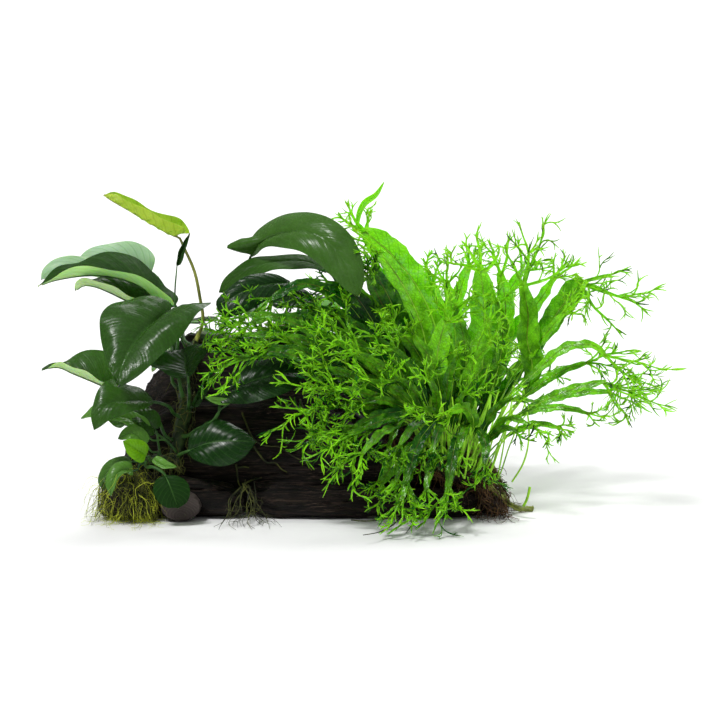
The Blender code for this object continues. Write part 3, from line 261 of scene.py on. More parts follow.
# Fern fronds with a node of their own: foot and midrib, width in millimetres, the way the upper
# side looks, the crest's outermost tips, and how bright the green is
FRONDS = {
    "fern_frond_tall_left": dict(
        on="fern_rhizome", path=((427, 413, 2), (436, 380, 8), (437, 335, 10), (421, 293, 9), (394, 257, 8), (363, 230, 5)),
        width=19, face=(-0.3, -0.85, 0.4), tone=1.0, peak=0.72, shoulder=0.86,
        curl=((357, 226, 4), (359, 212, 4), (364, 203, 3), (375, 195, 2), (384, 182, 0)),
        tips=((372, 209, 12), (346, 201, 8), (338, 213, 2), (350, 222, -4))),
    "fern_frond_tall_rear": dict(
        on="fern_rhizome_back", path=((436, 411, 25), (446, 380, 23), (444, 330, 21), (430, 284, 20)),
        width=13, face=(-0.2, -0.9, 0.2), tone=1.1, tips=((441, 260, 18), (432, 250, 24), (423, 258, 16))),
    "fern_frond_upper_left": dict(
        on="fern_rhizome", path=((415, 409, -2), (428, 380, -5), (424, 335, -5), (400, 280, -7), (378, 250, -9)),
        width=14, face=(-0.3, -0.85, 0.4), tone=0.75, tips=((360, 246, -15), (352, 228, -14), (348, 238, -6))),
    "fern_frond_arch_left_high": dict(
        on="fern_rhizome_front", path=((404, 414, -24), (394, 388, -22), (376, 345, -19), (345, 302, -19),
                                       (303, 284, -25), (268, 301, -32)),
        width=11, face=(-0.1, -0.8, 0.5), base=0.3, trim=0.75, tone=0.1,
        tips=((246, 300, -38), (246, 317, -30), (256, 331, -38), (268, 325, -33))),
    "fern_frond_arch_left_short": dict(
        on="fern_rhizome_front", path=((408, 418, -27), (396, 398, -29), (380, 378, -28), (355, 342, -27),
                                       (325, 313, -28), (297, 312, -30)),
        width=12, face=(-0.1, -0.8, 0.5), base=0.3, trim=0.55, tone=0.1, tips=((270, 318, -32), (277, 331, -33), (291, 329, -31))),
    "fern_frond_arch_left_long": dict(
        on="fern_rhizome_front", path=((413, 420, -30), (397, 409, -41), (370, 396, -43), (335, 352, -40),
                                       (300, 326, -41), (262, 315, -45), (243, 316, -47)),
        width=13, face=(-0.1, -0.75, 0.6), base=0.3, trim=0.55, tone=0.25,
        tips=((236, 300, -40), (206, 321, -38), (212, 338, -40), (222, 345, -50))),
    "fern_frond_arch_left_low": dict(
        on="fern_rhizome_front", path=((419, 423, -32), (400, 414, -42), (362, 403, -46), (320, 372, -50),
                                       (283, 353, -53), (250, 358, -57)),
        width=11, face=(-0.1, -0.7, 0.65), base=0.3, trim=0.55, tone=0.1,
        tips=((240, 345, -52), (210, 352, -56), (203, 377, -62), (232, 384, -60))),
    "fern_frond_front_left": dict(
        on="fern_rhizome_front", path=((426, 427, -33), (408, 416, -46), (378, 413, -55), (345, 405, -61),
                                       (325, 408, -64)),
        width=10, face=(-0.1, -0.7, 0.65), base=0.3, trim=0.75, tone=0.22,
        tips=((275, 405, -66), (265, 438, -72), (298, 446, -74), (318, 444, -66))),
    "fern_frond_drooping_left": dict(
        on="fern_rhizome_front", path=((433, 430, -35), (420, 418, -50), (385, 420, -68), (352, 434, -78)),
        width=10, face=(-0.1, -0.6, 0.75), base=0.3, trim=0.75, tone=0.2,
        tips=((290, 452, -78), (305, 460, -86), (335, 482, -80), (350, 497, -86))),
    "fern_frond_drooping_front": dict(
        on="fern_rhizome_front", path=((441, 433, -36), (443, 416, -52), (420, 440, -78), (405, 484, -92)),
        width=9, face=(0, -0.9, 0.4), base=0.3, trim=0.75, tone=0.12,
        tips=((378, 505, -84), (392, 520, -98), (410, 530, -111), (424, 518, -96))),
    "fern_frond_drooping_middle": dict(
        on="fern_rhizome_front", path=((450, 437, -36), (459, 424, -50), (453, 455, -74), (447, 490, -86)),
        width=9, face=(0, -0.9, 0.4), base=0.3, trim=0.75, tone=0.2, tips=((434, 528, -107), (447, 520, -100), (458, 511, -92))),
    "fern_frond_folded_front": dict(
        on="fern_rhizome_front", path=((464, 442, -34), (473, 428, -46), (472, 416, -54), (462, 408, -60),
                                       (450, 412, -64)),
        width=12, face=(0, -0.8, 0.5), base=0.3, trim=0.75, tone=0.5, tips=((438, 416, -68), (441, 424, -66))),
    "fern_frond_middle": dict(
        on="fern_rhizome", path=((438, 418, -3), (436, 390, -11), (438, 350, -15), (446, 318, -15)),
        width=14, face=(0, -0.95, 0.2), tone=0.85,
        tips=((450, 292, -20), (462, 290, -12), (475, 304, -18), (462, 322, -24))),
    "fern_frond_upright_broad": dict(
        on="fern_rhizome", path=((458, 431, 2), (477, 400, 1), (483, 349, -1), (484, 300, -3), (480, 268, -4)),
        width=19, face=(0, -1, 0.1), tone=0.8,
        tips=((447, 262, -8), (462, 241, 0), (477, 232, -2), (499, 248, -8))),
    "fern_frond_upright_rear": dict(
        on="fern_rhizome_back", path=((458, 423, 27), (488, 395, 20), (503, 345, 16), (505, 300, 14),
                                      (500, 272, 14)),
        width=12, face=(0, -1, 0.15), tone=1.0, tips=((480, 240, 12), (489, 240, 20), (509, 233, 10))),
    "fern_frond_tall_right": dict(
        on="fern_rhizome", path=((480, 448, 0), (505, 420, -3), (524, 395, -7), (532, 368, -10),
                                 (527, 339, -11), (528, 315, -10), (522, 282, -9)),
        width=14, face=(0.1, -0.95, 0.15), base=0.3, peak=0.62, fold=0.75, tone=0.48,
        tips=((504, 245, -12), (518, 222, -8), (548, 218, -2), (573, 263, -10))),
    "fern_frond_right_broad": dict(
        on="fern_rhizome", path=((470, 438, -3), (500, 405, 2), (533, 352, 7), (558, 312, 9), (583, 280, 8)),
        width=15.5, face=(-0.3, -0.85, 0.3), base=0.3, peak=0.84, shoulder=0.93, tone=0.46,
        tips=((628, 270, 4), (648, 294, 13), (648, 312, 2), (623, 332, 10))),
    "fern_frond_right_wavy": dict(
        on="fern_rhizome_front", path=((472, 447, -32), (498, 408, -29), (536, 372, -27), (568, 347, -27),
                                       (597, 347, -29), (607, 358, -30)),
        width=9, face=(-0.2, -0.8, 0.5), base=0.3, trim=0.75, tone=0.6,
        tips=((640, 350, -24), (679, 371, -36), (662, 386, -28), (636, 385, -38))),
    "fern_frond_right_low": dict(
        on="fern_rhizome_front", path=((478, 453, -32), (500, 426, -38), (530, 408, -40), (568, 391, -42),
                                       (606, 381, -44)),
        width=9, face=(-0.2, -0.8, 0.5), base=0.3, trim=0.75, tone=0.5,
        tips=((655, 391, -38), (672, 408, -44), (650, 403, -52), (628, 422, -48))),
    "fern_frond_right_drooping": dict(
        on="fern_rhizome_front", path=((480, 460, -33), (492, 432, -44), (512, 418, -51), (531, 426, -57)),
        width=7, face=(0, -0.7, 0.7), base=0.3, trim=0.75, tone=0.5, tips=((553, 436, -62), (550, 448, -58))),
    "fern_frond_back_left": dict(
        on="fern_rhizome_back", path=((410, 403, 28), (400, 372, 42), (382, 335, 58), (362, 322, 74)),
        width=14, face=(-0.4, 0.5, 0.75), tone=0.6, tips=((342, 326, 84), (350, 312, 90), (362, 338, 94))),
    "fern_frond_back_middle": dict(
        on="fern_rhizome_back", path=((424, 408, 31), (428, 360, 46), (434, 312, 62), (442, 292, 78)),
        width=15, face=(0, 0.8, 0.6), tone=0.5, tips=((432, 284, 90), (448, 281, 94), (456, 300, 96))),
    "fern_frond_back_right": dict(
        on="fern_rhizome_back", path=((446, 417, 31), (466, 375, 47), (486, 330, 62), (500, 304, 72)),
        width=14, face=(0.3, 0.7, 0.6), tone=0.7, tips=((516, 294, 80), (506, 280, 86), (494, 290, 90))),
    "fern_frond_back_far_right": dict(
        on="fern_rhizome_back", path=((466, 428, 29), (495, 398, 42), (525, 378, 56), (546, 376, 66)),
        width=12, face=(0.4, 0.5, 0.75), tone=0.5, tips=((565, 370, 70), (570, 380, 64), (558, 366, 78))),
    "fern_frond_back_drooping": dict(
        on="fern_rhizome_back", path=((404, 401, 25), (392, 384, 40), (374, 378, 62), (362, 392, 82)),
        width=13, face=(-0.4, 0.5, 0.75), tone=0.4, tips=((350, 404, 92), (360, 416, 97), (372, 410, 99))),
}

# Smaller fronds, in groups: path, width in millimetres, length of the crest in millimetres, tone
SMALL_FRONDS = {
    "fern_small_fronds_left": ("fern_rhizome_front", (
        (((410, 416, -28), (385, 375, -33), (362, 345, -35), (345, 330, -36)), 6, 20, 0.27),
        (((408, 414, -26), (390, 372, -26), (365, 332, -26), (342, 314, -28)), 6, 18, 0.18),
        (((418, 421, -31), (400, 395, -42), (375, 380, -50), (350, 376, -54)), 6, 20, 0.25),
        (((424, 424, -34), (400, 410, -50), (372, 405, -60), (345, 410, -66)), 6, 24, 0.25),
        (((420, 422, -32), (398, 402, -46), (366, 390, -56), (338, 390, -62)), 6, 22, 0.23),
        (((420, 420, -30), (405, 380, -42), (390, 350, -48), (376, 335, -50)), 6, 18, 0.32),
        (((402, 412, -20), (360, 355, -22), (320, 335, -24), (292, 335, -28)), 7, 20, 0.18),
        (((412, 418, -28), (375, 378, -36), (340, 358, -42), (318, 356, -46)), 7, 20, 0.18),
        (((400, 411, -18), (372, 350, -14), (335, 318, -14), (305, 308, -18)), 7, 18, 0.16),
        (((406, 414, -24), (372, 366, -30), (330, 342, -34), (288, 330, -38), (262, 330, -40)), 7, 20, 0.23),
        (((412, 417, -29), (380, 386, -40), (340, 366, -46), (298, 350, -50), (268, 346, -52)), 6, 20, 0.2),
        (((430, 428, -35), (405, 412, -56), (376, 416, -66), (352, 428, -74)), 6, 20, 0.2),
        (((404, 413, -22), (380, 385, -24), (352, 366, -26), (330, 364, -30)), 6, 18, 0.091),
        (((414, 420, -32), (396, 392, -44), (368, 362, -52), (338, 342, -56)), 6, 20, 0.4),
        (((410, 416, -30), (390, 385, -40), (356, 350, -46), (325, 334, -50)), 6, 20, 0.35),
        (((418, 422, -34), (395, 400, -48), (358, 378, -56), (322, 366, -60)), 6, 22, 0.25),
        (((422, 424, -34), (400, 408, -50), (366, 394, -62), (330, 388, -66)), 6, 22, 0.3),
        (((404, 412, -26), (370, 372, -36), (322, 348, -44), (290, 344, -48)), 6, 20, 0.3),
        (((408, 416, -28), (372, 372, -38), (320, 345, -44), (270, 335, -46), (238, 335, -46)), 6, 24, 0.28),
        (((412, 420, -30), (375, 392, -46), (325, 368, -52), (275, 352, -54), (236, 358, -56)), 6, 24, 0.24),
        (((404, 414, -24), (366, 352, -28), (318, 322, -30), (272, 318, -34), (246, 325, -36)), 6, 18, 0.32),
        (((406, 412, -14), (392, 370, -14), (372, 320, -16), (350, 292, -18), (325, 283, -20)), 11, 10, 0.07),
        (((404, 412, -16), (386, 372, -18), (362, 332, -20), (340, 316, -22), (318, 308, -24)), 11, 10, 0.035),
        (((426, 426, -34), (404, 408, -52), (380, 400, -62), (362, 402, -68)), 6, 18, 0.25),
    )),
    "fern_small_fronds_front": ("fern_root_mat", (
        (((430, 440, -38), (418, 400, -50), (408, 384, -58), (398, 378, -62)), 6, 17, 0.32),
        (((438, 446, -40), (437, 405, -50), (434, 388, -57), (428, 378, -60)), 5, 14, 0.39),
        (((448, 452, -41), (455, 415, -52), (460, 400, -60), (464, 392, -62)), 6, 15, 0.27),
        (((462, 458, -42), (468, 415, -50), (472, 398, -58), (478, 388, -60)), 6, 15, 0.32),
        (((434, 446, -40), (438, 420, -52), (432, 410, -64), (424, 408, -68)), 5, 14, 0.27),
        (((460, 460, -43), (466, 425, -52), (462, 438, -66), (457, 450, -70)), 6, 15, 0.32),
        (((426, 440, -40), (405, 416, -56), (382, 420, -68), (364, 436, -76)), 6, 18, 0.27),
        (((470, 462, -42), (486, 425, -50), (500, 405, -56), (512, 398, -60)), 6, 14, 0.27),
        (((478, 466, -41), (494, 435, -50), (508, 428, -54), (518, 432, -58)), 5, 12, 0.24),
        (((452, 456, -42), (448, 420, -54), (438, 432, -70), (432, 452, -78)), 6, 16, 0.21),
        (((442, 450, -42), (430, 418, -54), (412, 428, -72), (398, 448, -82)), 6, 18, 0.21),
        (((466, 462, -42), (478, 430, -50), (486, 446, -62), (484, 466, -70)), 6, 13, 0.21),
        (((444, 450, -41), (446, 400, -48), (450, 372, -54), (458, 356, -58)), 6, 16, 0.27),
        (((436, 445, -39), (424, 395, -46), (408, 362, -52), (394, 348, -56)), 6, 16, 0.27),
        (((456, 456, -41), (470, 400, -46), (486, 372, -52), (500, 362, -56)), 6, 16, 0.27),
        (((428, 440, -40), (408, 410, -54), (396, 428, -68), (388, 448, -74)), 5, 14, 0.24),
        (((415, 455, -48), (405, 452, -60), (392, 466, -66), (380, 484, -68)), 11, 6, 0.39),
        (((430, 450, -42), (418, 440, -58), (404, 458, -76), (396, 482, -86)), 6, 20, 0.3),
        (((446, 456, -42), (440, 446, -58), (430, 468, -78), (426, 492, -88)), 6, 20, 0.3),
        (((440, 452, -42), (428, 444, -60), (410, 470, -84), (402, 500, -96)), 6, 18, 0.34),
        (((458, 460, -43), (456, 450, -58), (450, 474, -78), (448, 496, -86)), 6, 18, 0.28),
        (((424, 440, -40), (404, 424, -60), (378, 436, -78), (360, 456, -86)), 6, 20, 0.34),
        (((420, 436, -39), (396, 418, -56), (366, 424, -70), (340, 436, -78)), 6, 20, 0.34),
        (((428, 436, -38), (404, 396, -54), (384, 384, -62), (366, 380, -66)), 6, 18, 0.36),
        (((426, 434, -38), (398, 384, -52), (376, 362, -58), (356, 352, -62)), 6, 18, 0.34),
    )),
    "fern_small_fronds_upright": ("fern_rhizome", (
        (((430, 414, 0), (428, 385, 2), (415, 345, 6), (398, 310, 10), (388, 285, 12)), 11, 18, 0.35),
        (((445, 424, 0), (452, 390, 3), (456, 345, 4), (452, 310, 5), (446, 280, 6)), 9, 18, 0.75),
        (((452, 428, 0), (462, 395, -6), (466, 360, -8), (462, 330, -10), (455, 306, -12)), 8, 18, 0.5),
        (((470, 438, -2), (488, 400, -6), (500, 360, -8), (503, 330, -9), (497, 300, -10)), 9, 20, 0.45),
        (((476, 444, -4), (498, 405, -8), (515, 372, -10), (545, 335, -12), (566, 310, -14)), 7, 18, 0.6),
        (((478, 446, -6), (505, 415, -12), (535, 388, -16), (565, 370, -18), (590, 362, -20)), 6, 22, 0.55),
        (((482, 450, -10), (512, 420, -14), (548, 400, -18), (585, 392, -22), (612, 392, -24)), 6, 20, 0.55),
        (((484, 455, -20), (514, 432, -28), (540, 424, -34), (560, 428, -36)), 5, 10, 0.6),
        (((420, 412, -2), (412, 380, -8), (396, 335, -10), (380, 300, -12), (368, 276, -14)), 12, 10, 0.2),
        (((462, 434, 0), (472, 400, -10), (474, 370, -14), (480, 340, -16), (490, 318, -18)), 8, 16, 0.65),
        (((440, 420, -4), (440, 390, -16), (428, 355, -20), (412, 335, -22)), 8, 15, 0.5),
        (((456, 430, -4), (464, 392, -20), (476, 360, -24), (492, 342, -26)), 8, 15, 0.5),
        (((434, 416, -2), (430, 380, -12), (412, 345, -16), (392, 325, -18)), 9, 14, 0.35),
        (((412, 408, -6), (404, 375, -10), (386, 335, -12), (366, 302, -14), (354, 286, -16)), 13, 8, 0.5),
        (((416, 410, -4), (410, 375, -6), (400, 325, -8), (384, 288, -9), (372, 268, -10)), 14, 8, 0.15),
        (((482, 452, -14), (506, 424, -22), (536, 410, -28), (566, 408, -32), (590, 414, -34)), 5, 12, 0.6),
    )),
    "fern_small_fronds_middle": ("fern_rhizome_back", (
        (((432, 412, 26), (430, 392, 18), (420, 365, 14), (405, 345, 14)), 12, 9, 0.2),
        (((438, 414, 26), (442, 392, 18), (446, 366, 16), (440, 340, 16)), 12, 9, 0.15),
        (((448, 418, 26), (458, 396, 18), (468, 372, 16), (474, 346, 16)), 12, 9, 0.25),
        (((458, 423, 26), (474, 400, 18), (490, 378, 16), (500, 352, 16)), 12, 9, 0.15),
        (((424, 408, 26), (410, 386, 16), (392, 362, 12), (374, 344, 12)), 11, 9, 0.15),
        (((466, 428, 26), (486, 408, 18), (506, 388, 14), (522, 366, 14)), 11, 9, 0.3),
        (((416, 405, 26), (400, 390, 14), (380, 372, 10), (360, 358, 10)), 10, 9, 0.15),
        (((428, 410, 26), (430, 412, 12), (434, 404, 6), (438, 388, 6)), 13, 9, 0.1),
        (((438, 414, 26), (444, 420, 12), (450, 412, 6), (452, 392, 6)), 13, 9, 0.15),
        (((448, 418, 26), (458, 428, 12), (464, 418, 4), (470, 398, 4)), 13, 9, 0.1),
        (((456, 422, 26), (466, 432, 12), (476, 428, 4), (484, 412, 4)), 13, 9, 0.2),
        (((420, 408, 26), (414, 404, 12), (404, 396, 4), (394, 382, 2)), 12, 9, 0.1),
        (((412, 404, 24), (396, 396, 8), (376, 388, 0), (352, 380, -2)), 12, 9, 0.08),
        (((444, 416, 26), (436, 380, 22), (424, 340, 20), (414, 312, 20)), 11, 12, 0.5),
        (((452, 420, 26), (470, 385, 22), (484, 350, 22), (486, 318, 22)), 11, 12, 0.6),
        (((436, 413, 26), (416, 376, 20), (396, 345, 18), (384, 322, 18)), 11, 12, 0.4),
    )),
    "fern_small_fronds_rear": ("fern_rhizome_back", (
        (((440, 421, 26), (446, 380, 28), (450, 330, 28), (462, 285, 26), (470, 262, 24)), 10, 18, 1.0),
        (((462, 428, 27), (480, 385, 27), (492, 330, 27), (510, 290, 25), (524, 268, 22)), 10, 20, 1.0),
        (((455, 425, 26), (475, 380, 22), (510, 335, 18), (540, 300, 14), (556, 275, 10)), 9, 20, 0.9),
        (((420, 410, 27), (415, 370, 28), (400, 320, 29), (385, 285, 28), (374, 262, 28)), 11, 14, 0.9),
        (((412, 404, 30), (396, 380, 50), (382, 372, 68), (372, 382, 82)), 9, 14, 0.5),
        (((428, 410, 32), (420, 365, 52), (410, 335, 66), (398, 322, 76)), 10, 16, 0.55),
        (((440, 414, 32), (446, 370, 54), (452, 335, 70), (460, 318, 82)), 10, 14, 0.6),
        (((452, 420, 32), (470, 380, 52), (486, 350, 66), (498, 338, 76)), 10, 16, 0.5),
        (((462, 425, 31), (486, 395, 48), (508, 372, 60), (524, 360, 68)), 9, 16, 0.55),
        (((468, 430, 30), (492, 410, 44), (516, 400, 54), (534, 402, 60)), 8, 14, 0.5),
        (((436, 412, 31), (434, 385, 56), (430, 375, 76), (426, 382, 90)), 9, 10, 0.4),
        (((455, 422, 31), (466, 398, 54), (476, 390, 72), (486, 396, 84)), 9, 12, 0.5),
    )),
}

# Single stalks with no blade of their own: path and radius in millimetres
LONG_STALKS = (
    (((513, 386, -18), (524, 402, -28), (529, 436, -33), (523, 464, -32), (512, 482, -30)), 0.6),
    (((514, 392, -16), (508, 420, -24), (502, 455, -28), (497, 480, -30)), 0.5),
    (((522, 509, -24), (527, 499, -24), (530, 487, -24)), 0.9),
    (((498, 404, -8), (492, 425, -18), (484, 450, -28), (480, 470, -34)), 0.55),
)
STALK_COUNT = 34

# Dark dead stalks below the fern, in front of the wood: path and radius in millimetres
TWIGS = (
    (((414, 506, -82), (398, 515, -80), (382, 519, -78), (366, 521, -76), (351, 520, -74)), 0.8),
    (((404, 514, -86), (394, 524, -96), (382, 531, -106), (370, 534, -115), (363, 535, -118)), 0.5),
    (((416, 516, -88), (411, 526, -98), (406, 533, -110)), 0.5),
    (((380, 519, -79), (374, 516, -82), (368, 517, -84)), 0.4),
)

# Roots that lie on the wood, as pixels only
AERIAL_ROOTS = (
    ((239, 404), (246, 424), (255, 440), (261, 444), (271, 446), (278, 446), (285, 451), (294, 457), (305, 463),
     (312, 470)),
    ((254, 446), (259, 454), (268, 463), (275, 463), (282, 469), (287, 472)),
    ((236, 464), (237, 471), (239, 484), (244, 492)),
    ((238, 467), (244, 466), (249, 467)),
    ((242, 486), (250, 481), (262, 478)),
    ((300, 400), (304, 415), (300, 430)),
    ((150, 366), (152, 380), (150, 396)),
)


def seen(column, row, depth):
    """The place that shows at a pixel of the photograph and lies at a depth in millimetres."""
    sight = (VIEW_AHEAD * VIEW_DISTANCE + VIEW_RIGHT * (column - FRAME_CENTRE) * PIXEL
             + VIEW_UP * (FRAME_CENTRE - row) * PIXEL)
    return VIEWPOINT + sight * (depth * MM - VIEWPOINT[1]) / sight[1]


def unit(vectors):
    """The same directions with length 1."""
    return vectors / np.maximum(np.linalg.norm(vectors, axis=-1, keepdims=True), 1e-12)


def smooth_curve(points, fractions):
    """Places at the given fractions of the length of a smooth curve through the points."""
    points = np.array(points, dtype=float)
    knots = np.concatenate([[0], np.cumsum(np.linalg.norm(np.diff(points, axis=0), axis=1))])
    slopes = np.gradient(points, knots, axis=0)
    fine = np.linspace(0, knots[-1], 20 * len(points))
    span = np.clip(np.searchsorted(knots, fine, side="right") - 1, 0, len(points) - 2)
    length = (knots[span + 1] - knots[span])[:, None]
    t = (fine - knots[span])[:, None] / length
    dense = ((2 * t**3 - 3 * t**2 + 1) * points[span] + (t**3 - 2 * t**2 + t) * length * slopes[span]
             + (3 * t**2 - 2 * t**3) * points[span + 1] + (t**3 - t**2) * length * slopes[span + 1])
    run = np.concatenate([[0], np.cumsum(np.linalg.norm(np.diff(dense, axis=0), axis=1))])
    wanted = np.array(fractions) * run[-1]
    return np.column_stack([np.interp(wanted, run, dense[:, axis]) for axis in range(3)])


def noise(points, seed=0):
    """Smooth noise from -1 to 1 at an array of points, one cell to a unit."""
    points = np.asarray(points) + seed * 17.31
    cell = np.floor(points).astype(np.int64)
    t = points - cell
    t = t * t * (3 - 2 * t)
    total = np.zeros(points.shape[:-1])
    for corner in range(8):
        step = np.array([corner & 1, corner >> 1 & 1, corner >> 2 & 1])
        place = cell + step
        value = (place[..., 0] * 374761393 + place[..., 1] * 668265263 + place[..., 2] * 2147483647
                 + seed * 1013) & 0xFFFFFFFF
        value = ((value ^ (value >> 13)) * 1274126177) & 0xFFFFFFFF
        value = (value ^ (value >> 16)) & 0xFFFF
        weight = np.prod(np.where(step, t, 1 - t), axis=-1)
        total += weight * (value / 32767.5 - 1)
    return total


class Skin:
    """The points and faces of one piece while it is made, with a mark at each point.

    The mark holds the place across the blade from -1 to 1, the place along it, and its tone.
    """

    def __init__(self):
        self.points = []
        self.marks = []
        self.faces = []
        self.count = 0

    def add_points(self, points, marks):
        """Add points with their marks and give the first one's number."""
        start = self.count
        points = np.asarray(points).reshape(-1, 3)
        self.points.append(points)
        self.marks.append(np.broadcast_to(marks, points.shape) if np.ndim(marks) == 1
                          else np.asarray(marks).reshape(-1, 3))
        self.count += len(points)
        return start

    def add_faces(self, corners, slot):
        """Add faces with the number of their material."""
        self.faces.append((corners.reshape(-1, corners.shape[-1]), slot))

    def shell(self, middle, out, thickness, marks, slot=0, under=1):
        """A closed thin solid around a grid of points."""
        rows, columns = middle.shape[:2]
        half = out * (np.broadcast_to(thickness, (rows, columns)) / 2)[..., None]
        top = self.add_points(middle + half, marks)
        low = self.add_points(middle - half, marks)
        index = np.arange(rows * columns).reshape(rows, columns)
        a, b, c, d = index[:-1, :-1], index[:-1, 1:], index[1:, 1:], index[1:, :-1]
        self.add_faces(np.stack([a, b, c, d], -1) + top, slot)
        self.add_faces(np.stack([a, d, c, b], -1) + low, under)
        ring = np.concatenate([index[0, :], index[1:, -1], index[-1, -2::-1], index[-2:0:-1, 0]])
        ahead = np.roll(ring, -1)
        self.add_faces(np.stack([ring + top, ring + low, ahead + low, ahead + top], -1), slot)

    def tube(self, path, radii, sides, tone, slot=0):
        """A closed round stem along a path."""
        path = np.asarray(path)
        count = len(path)
        along = unit(np.gradient(path, axis=0))
        hint = np.eye(3)[np.argmin(np.abs(along).max(axis=0))]
        across = unit(np.cross(along, hint))
        out = np.cross(across, along)
        angles = np.linspace(0, 2 * math.pi, sides, endpoint=False)
        radii = np.broadcast_to(radii, (count,))[:, None, None]
        rings = path[:, None] + radii * (np.cos(angles)[None, :, None] * across[:, None]
                                         + np.sin(angles)[None, :, None] * out[:, None])
        marks = np.stack(np.broadcast_arrays(np.cos(angles)[None, :], np.linspace(0, 1, count)[:, None],
                                             float(tone)), -1)
        start = self.add_points(rings, marks)
        index = start + np.arange(count * sides).reshape(count, sides)
        ahead = np.roll(index, -1, axis=1)
        self.add_faces(np.stack([index[:-1], index[1:], ahead[1:], ahead[:-1]], -1), slot)
        self.add_faces(index[:1], slot)
        self.add_faces(index[-1:, ::-1], slot)

    def build(self, name, finishes, angle=50):
        """Make the object."""
        mesh = bpy.data.meshes.new(name)
        faces = [face for corners, slot in self.faces for face in corners.tolist()]
        mesh.from_pydata(np.concatenate(self.points).tolist(), [], faces)
        slots = np.concatenate([np.full(len(corners), slot) for corners, slot in self.faces])
        mesh.polygons.foreach_set("material_index", slots.astype(np.int32))
        for finish in finishes:
            mesh.materials.append(bpy.data.materials[finish])
        mark = mesh.attributes.new("mark", "FLOAT_VECTOR", "POINT")
        mark.data.foreach_set("vector", np.concatenate(self.marks).astype(np.float32).ravel())
        mesh.shade_smooth()
        mesh.set_sharp_from_angle(angle=math.radians(angle))
        piece = bpy.data.objects.new(name, mesh)
        bpy.context.scene.collection.objects.link(piece)
        return piece


def place_piece(piece, slot, *nodes):
    """Let the piece ride on the part and stand for its nodes. slot is not used."""
    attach(piece, "root")
    if nodes:
        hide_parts(*nodes)


surfaces = {}


def surface_of(node):
    """The surface of a solid, for finding places on it."""
    if node not in surfaces:
        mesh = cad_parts[node].data
        surfaces[node] = BVHTree.FromPolygons([v.co for v in mesh.vertices],
                                              [tuple(p.vertices) for p in mesh.polygons])
    return surfaces[node]


def foot_of(node, near):
    """Where a stalk begins, just inside what carries it, and the way out there."""
    place, outward, _, _ = surface_of(node).find_nearest(Vector(near))
    outward = np.array(outward)
    return np.array(place) - outward * 0.6 * MM, outward


# ---- materials ----


def add_node(tree, kind, settings=None, **sockets):
    """One shader node with its settings, and its sockets set or linked. iN is socket number N."""
    node = tree.nodes.new("ShaderNode" + kind)
    for key, value in (settings or {}).items():
        setattr(node, key, value)
    for key, value in sockets.items():
        socket = node.inputs[int(key[1:])] if key[1:].isdigit() else node.inputs[key.replace("_", " ")]
        if isinstance(value, bpy.types.NodeSocket):
            tree.links.new(value, socket)
        else:
            socket.default_value = value
    return node.outputs[0]


def maths(tree, operation, *values):
    """A Math node's result."""
    return add_node(tree, "Math", {"operation": operation},
                    **{"i%d" % number: value for number, value in enumerate(values)})


def span(tree, value, low, high, to_low=0.0, to_high=1.0):
    """The value mapped from one span to another, smoothly and clamped."""
    return add_node(tree, "MapRange", {"interpolation_type": "SMOOTHSTEP"}, i0=value, i1=low, i2=high,
                    i3=to_low, i4=to_high)


def blend(tree, share, first, second):
    """Two colours mixed by a share."""
    node = tree.nodes.new("ShaderNodeMix")
    node.data_type = "RGBA"
    for number, value in ((0, share), (6, first), (7, second)):
        if isinstance(value, bpy.types.NodeSocket):
            tree.links.new(value, node.inputs[number])
        elif number:
            node.inputs[number].default_value = (*value, 1)
        else:
            node.inputs[number].default_value = value
    return node.outputs[2]


def patches(tree, scale, detail=4.0, stretch=(1, 1, 1), roughness=0.55):
    """Noise over the object in its own place."""
    place = tree.nodes.new("ShaderNodeTexCoord").outputs["Object"]
    stretched = add_node(tree, "Mapping", Vector=place, Scale=stretch)
    return add_node(tree, "TexNoise", Vector=stretched, Scale=scale, Detail=detail, Roughness=roughness)


def start_finish(name, **sockets):
    """A material with its shader's own values, and the mark's three numbers."""
    finish = bpy.data.materials.new(name)
    finish.use_nodes = True
    tree = finish.node_tree
    shader = tree.nodes["Principled BSDF"]
    for key, value in sockets.items():
        shader.inputs[key.replace("_", " ")].default_value = value
    mark = tree.nodes.new("ShaderNodeAttribute")
    mark.attribute_name = "mark"
    parts = tree.nodes.new("ShaderNodeSeparateXYZ")
    tree.links.new(mark.outputs["Vector"], parts.inputs[0])
    return tree, shader, parts.outputs


def set_looks(tree, shader, colour, roughness, height, depth):
    """Link the colour, roughness and surface height to the shader."""
    tree.links.new(colour, shader.inputs["Base Color"])
    tree.links.new(roughness, shader.inputs["Roughness"])
    bump = add_node(tree, "Bump", Height=height, Distance=depth, Strength=1.0)
    tree.links.new(bump, shader.inputs["Normal"])


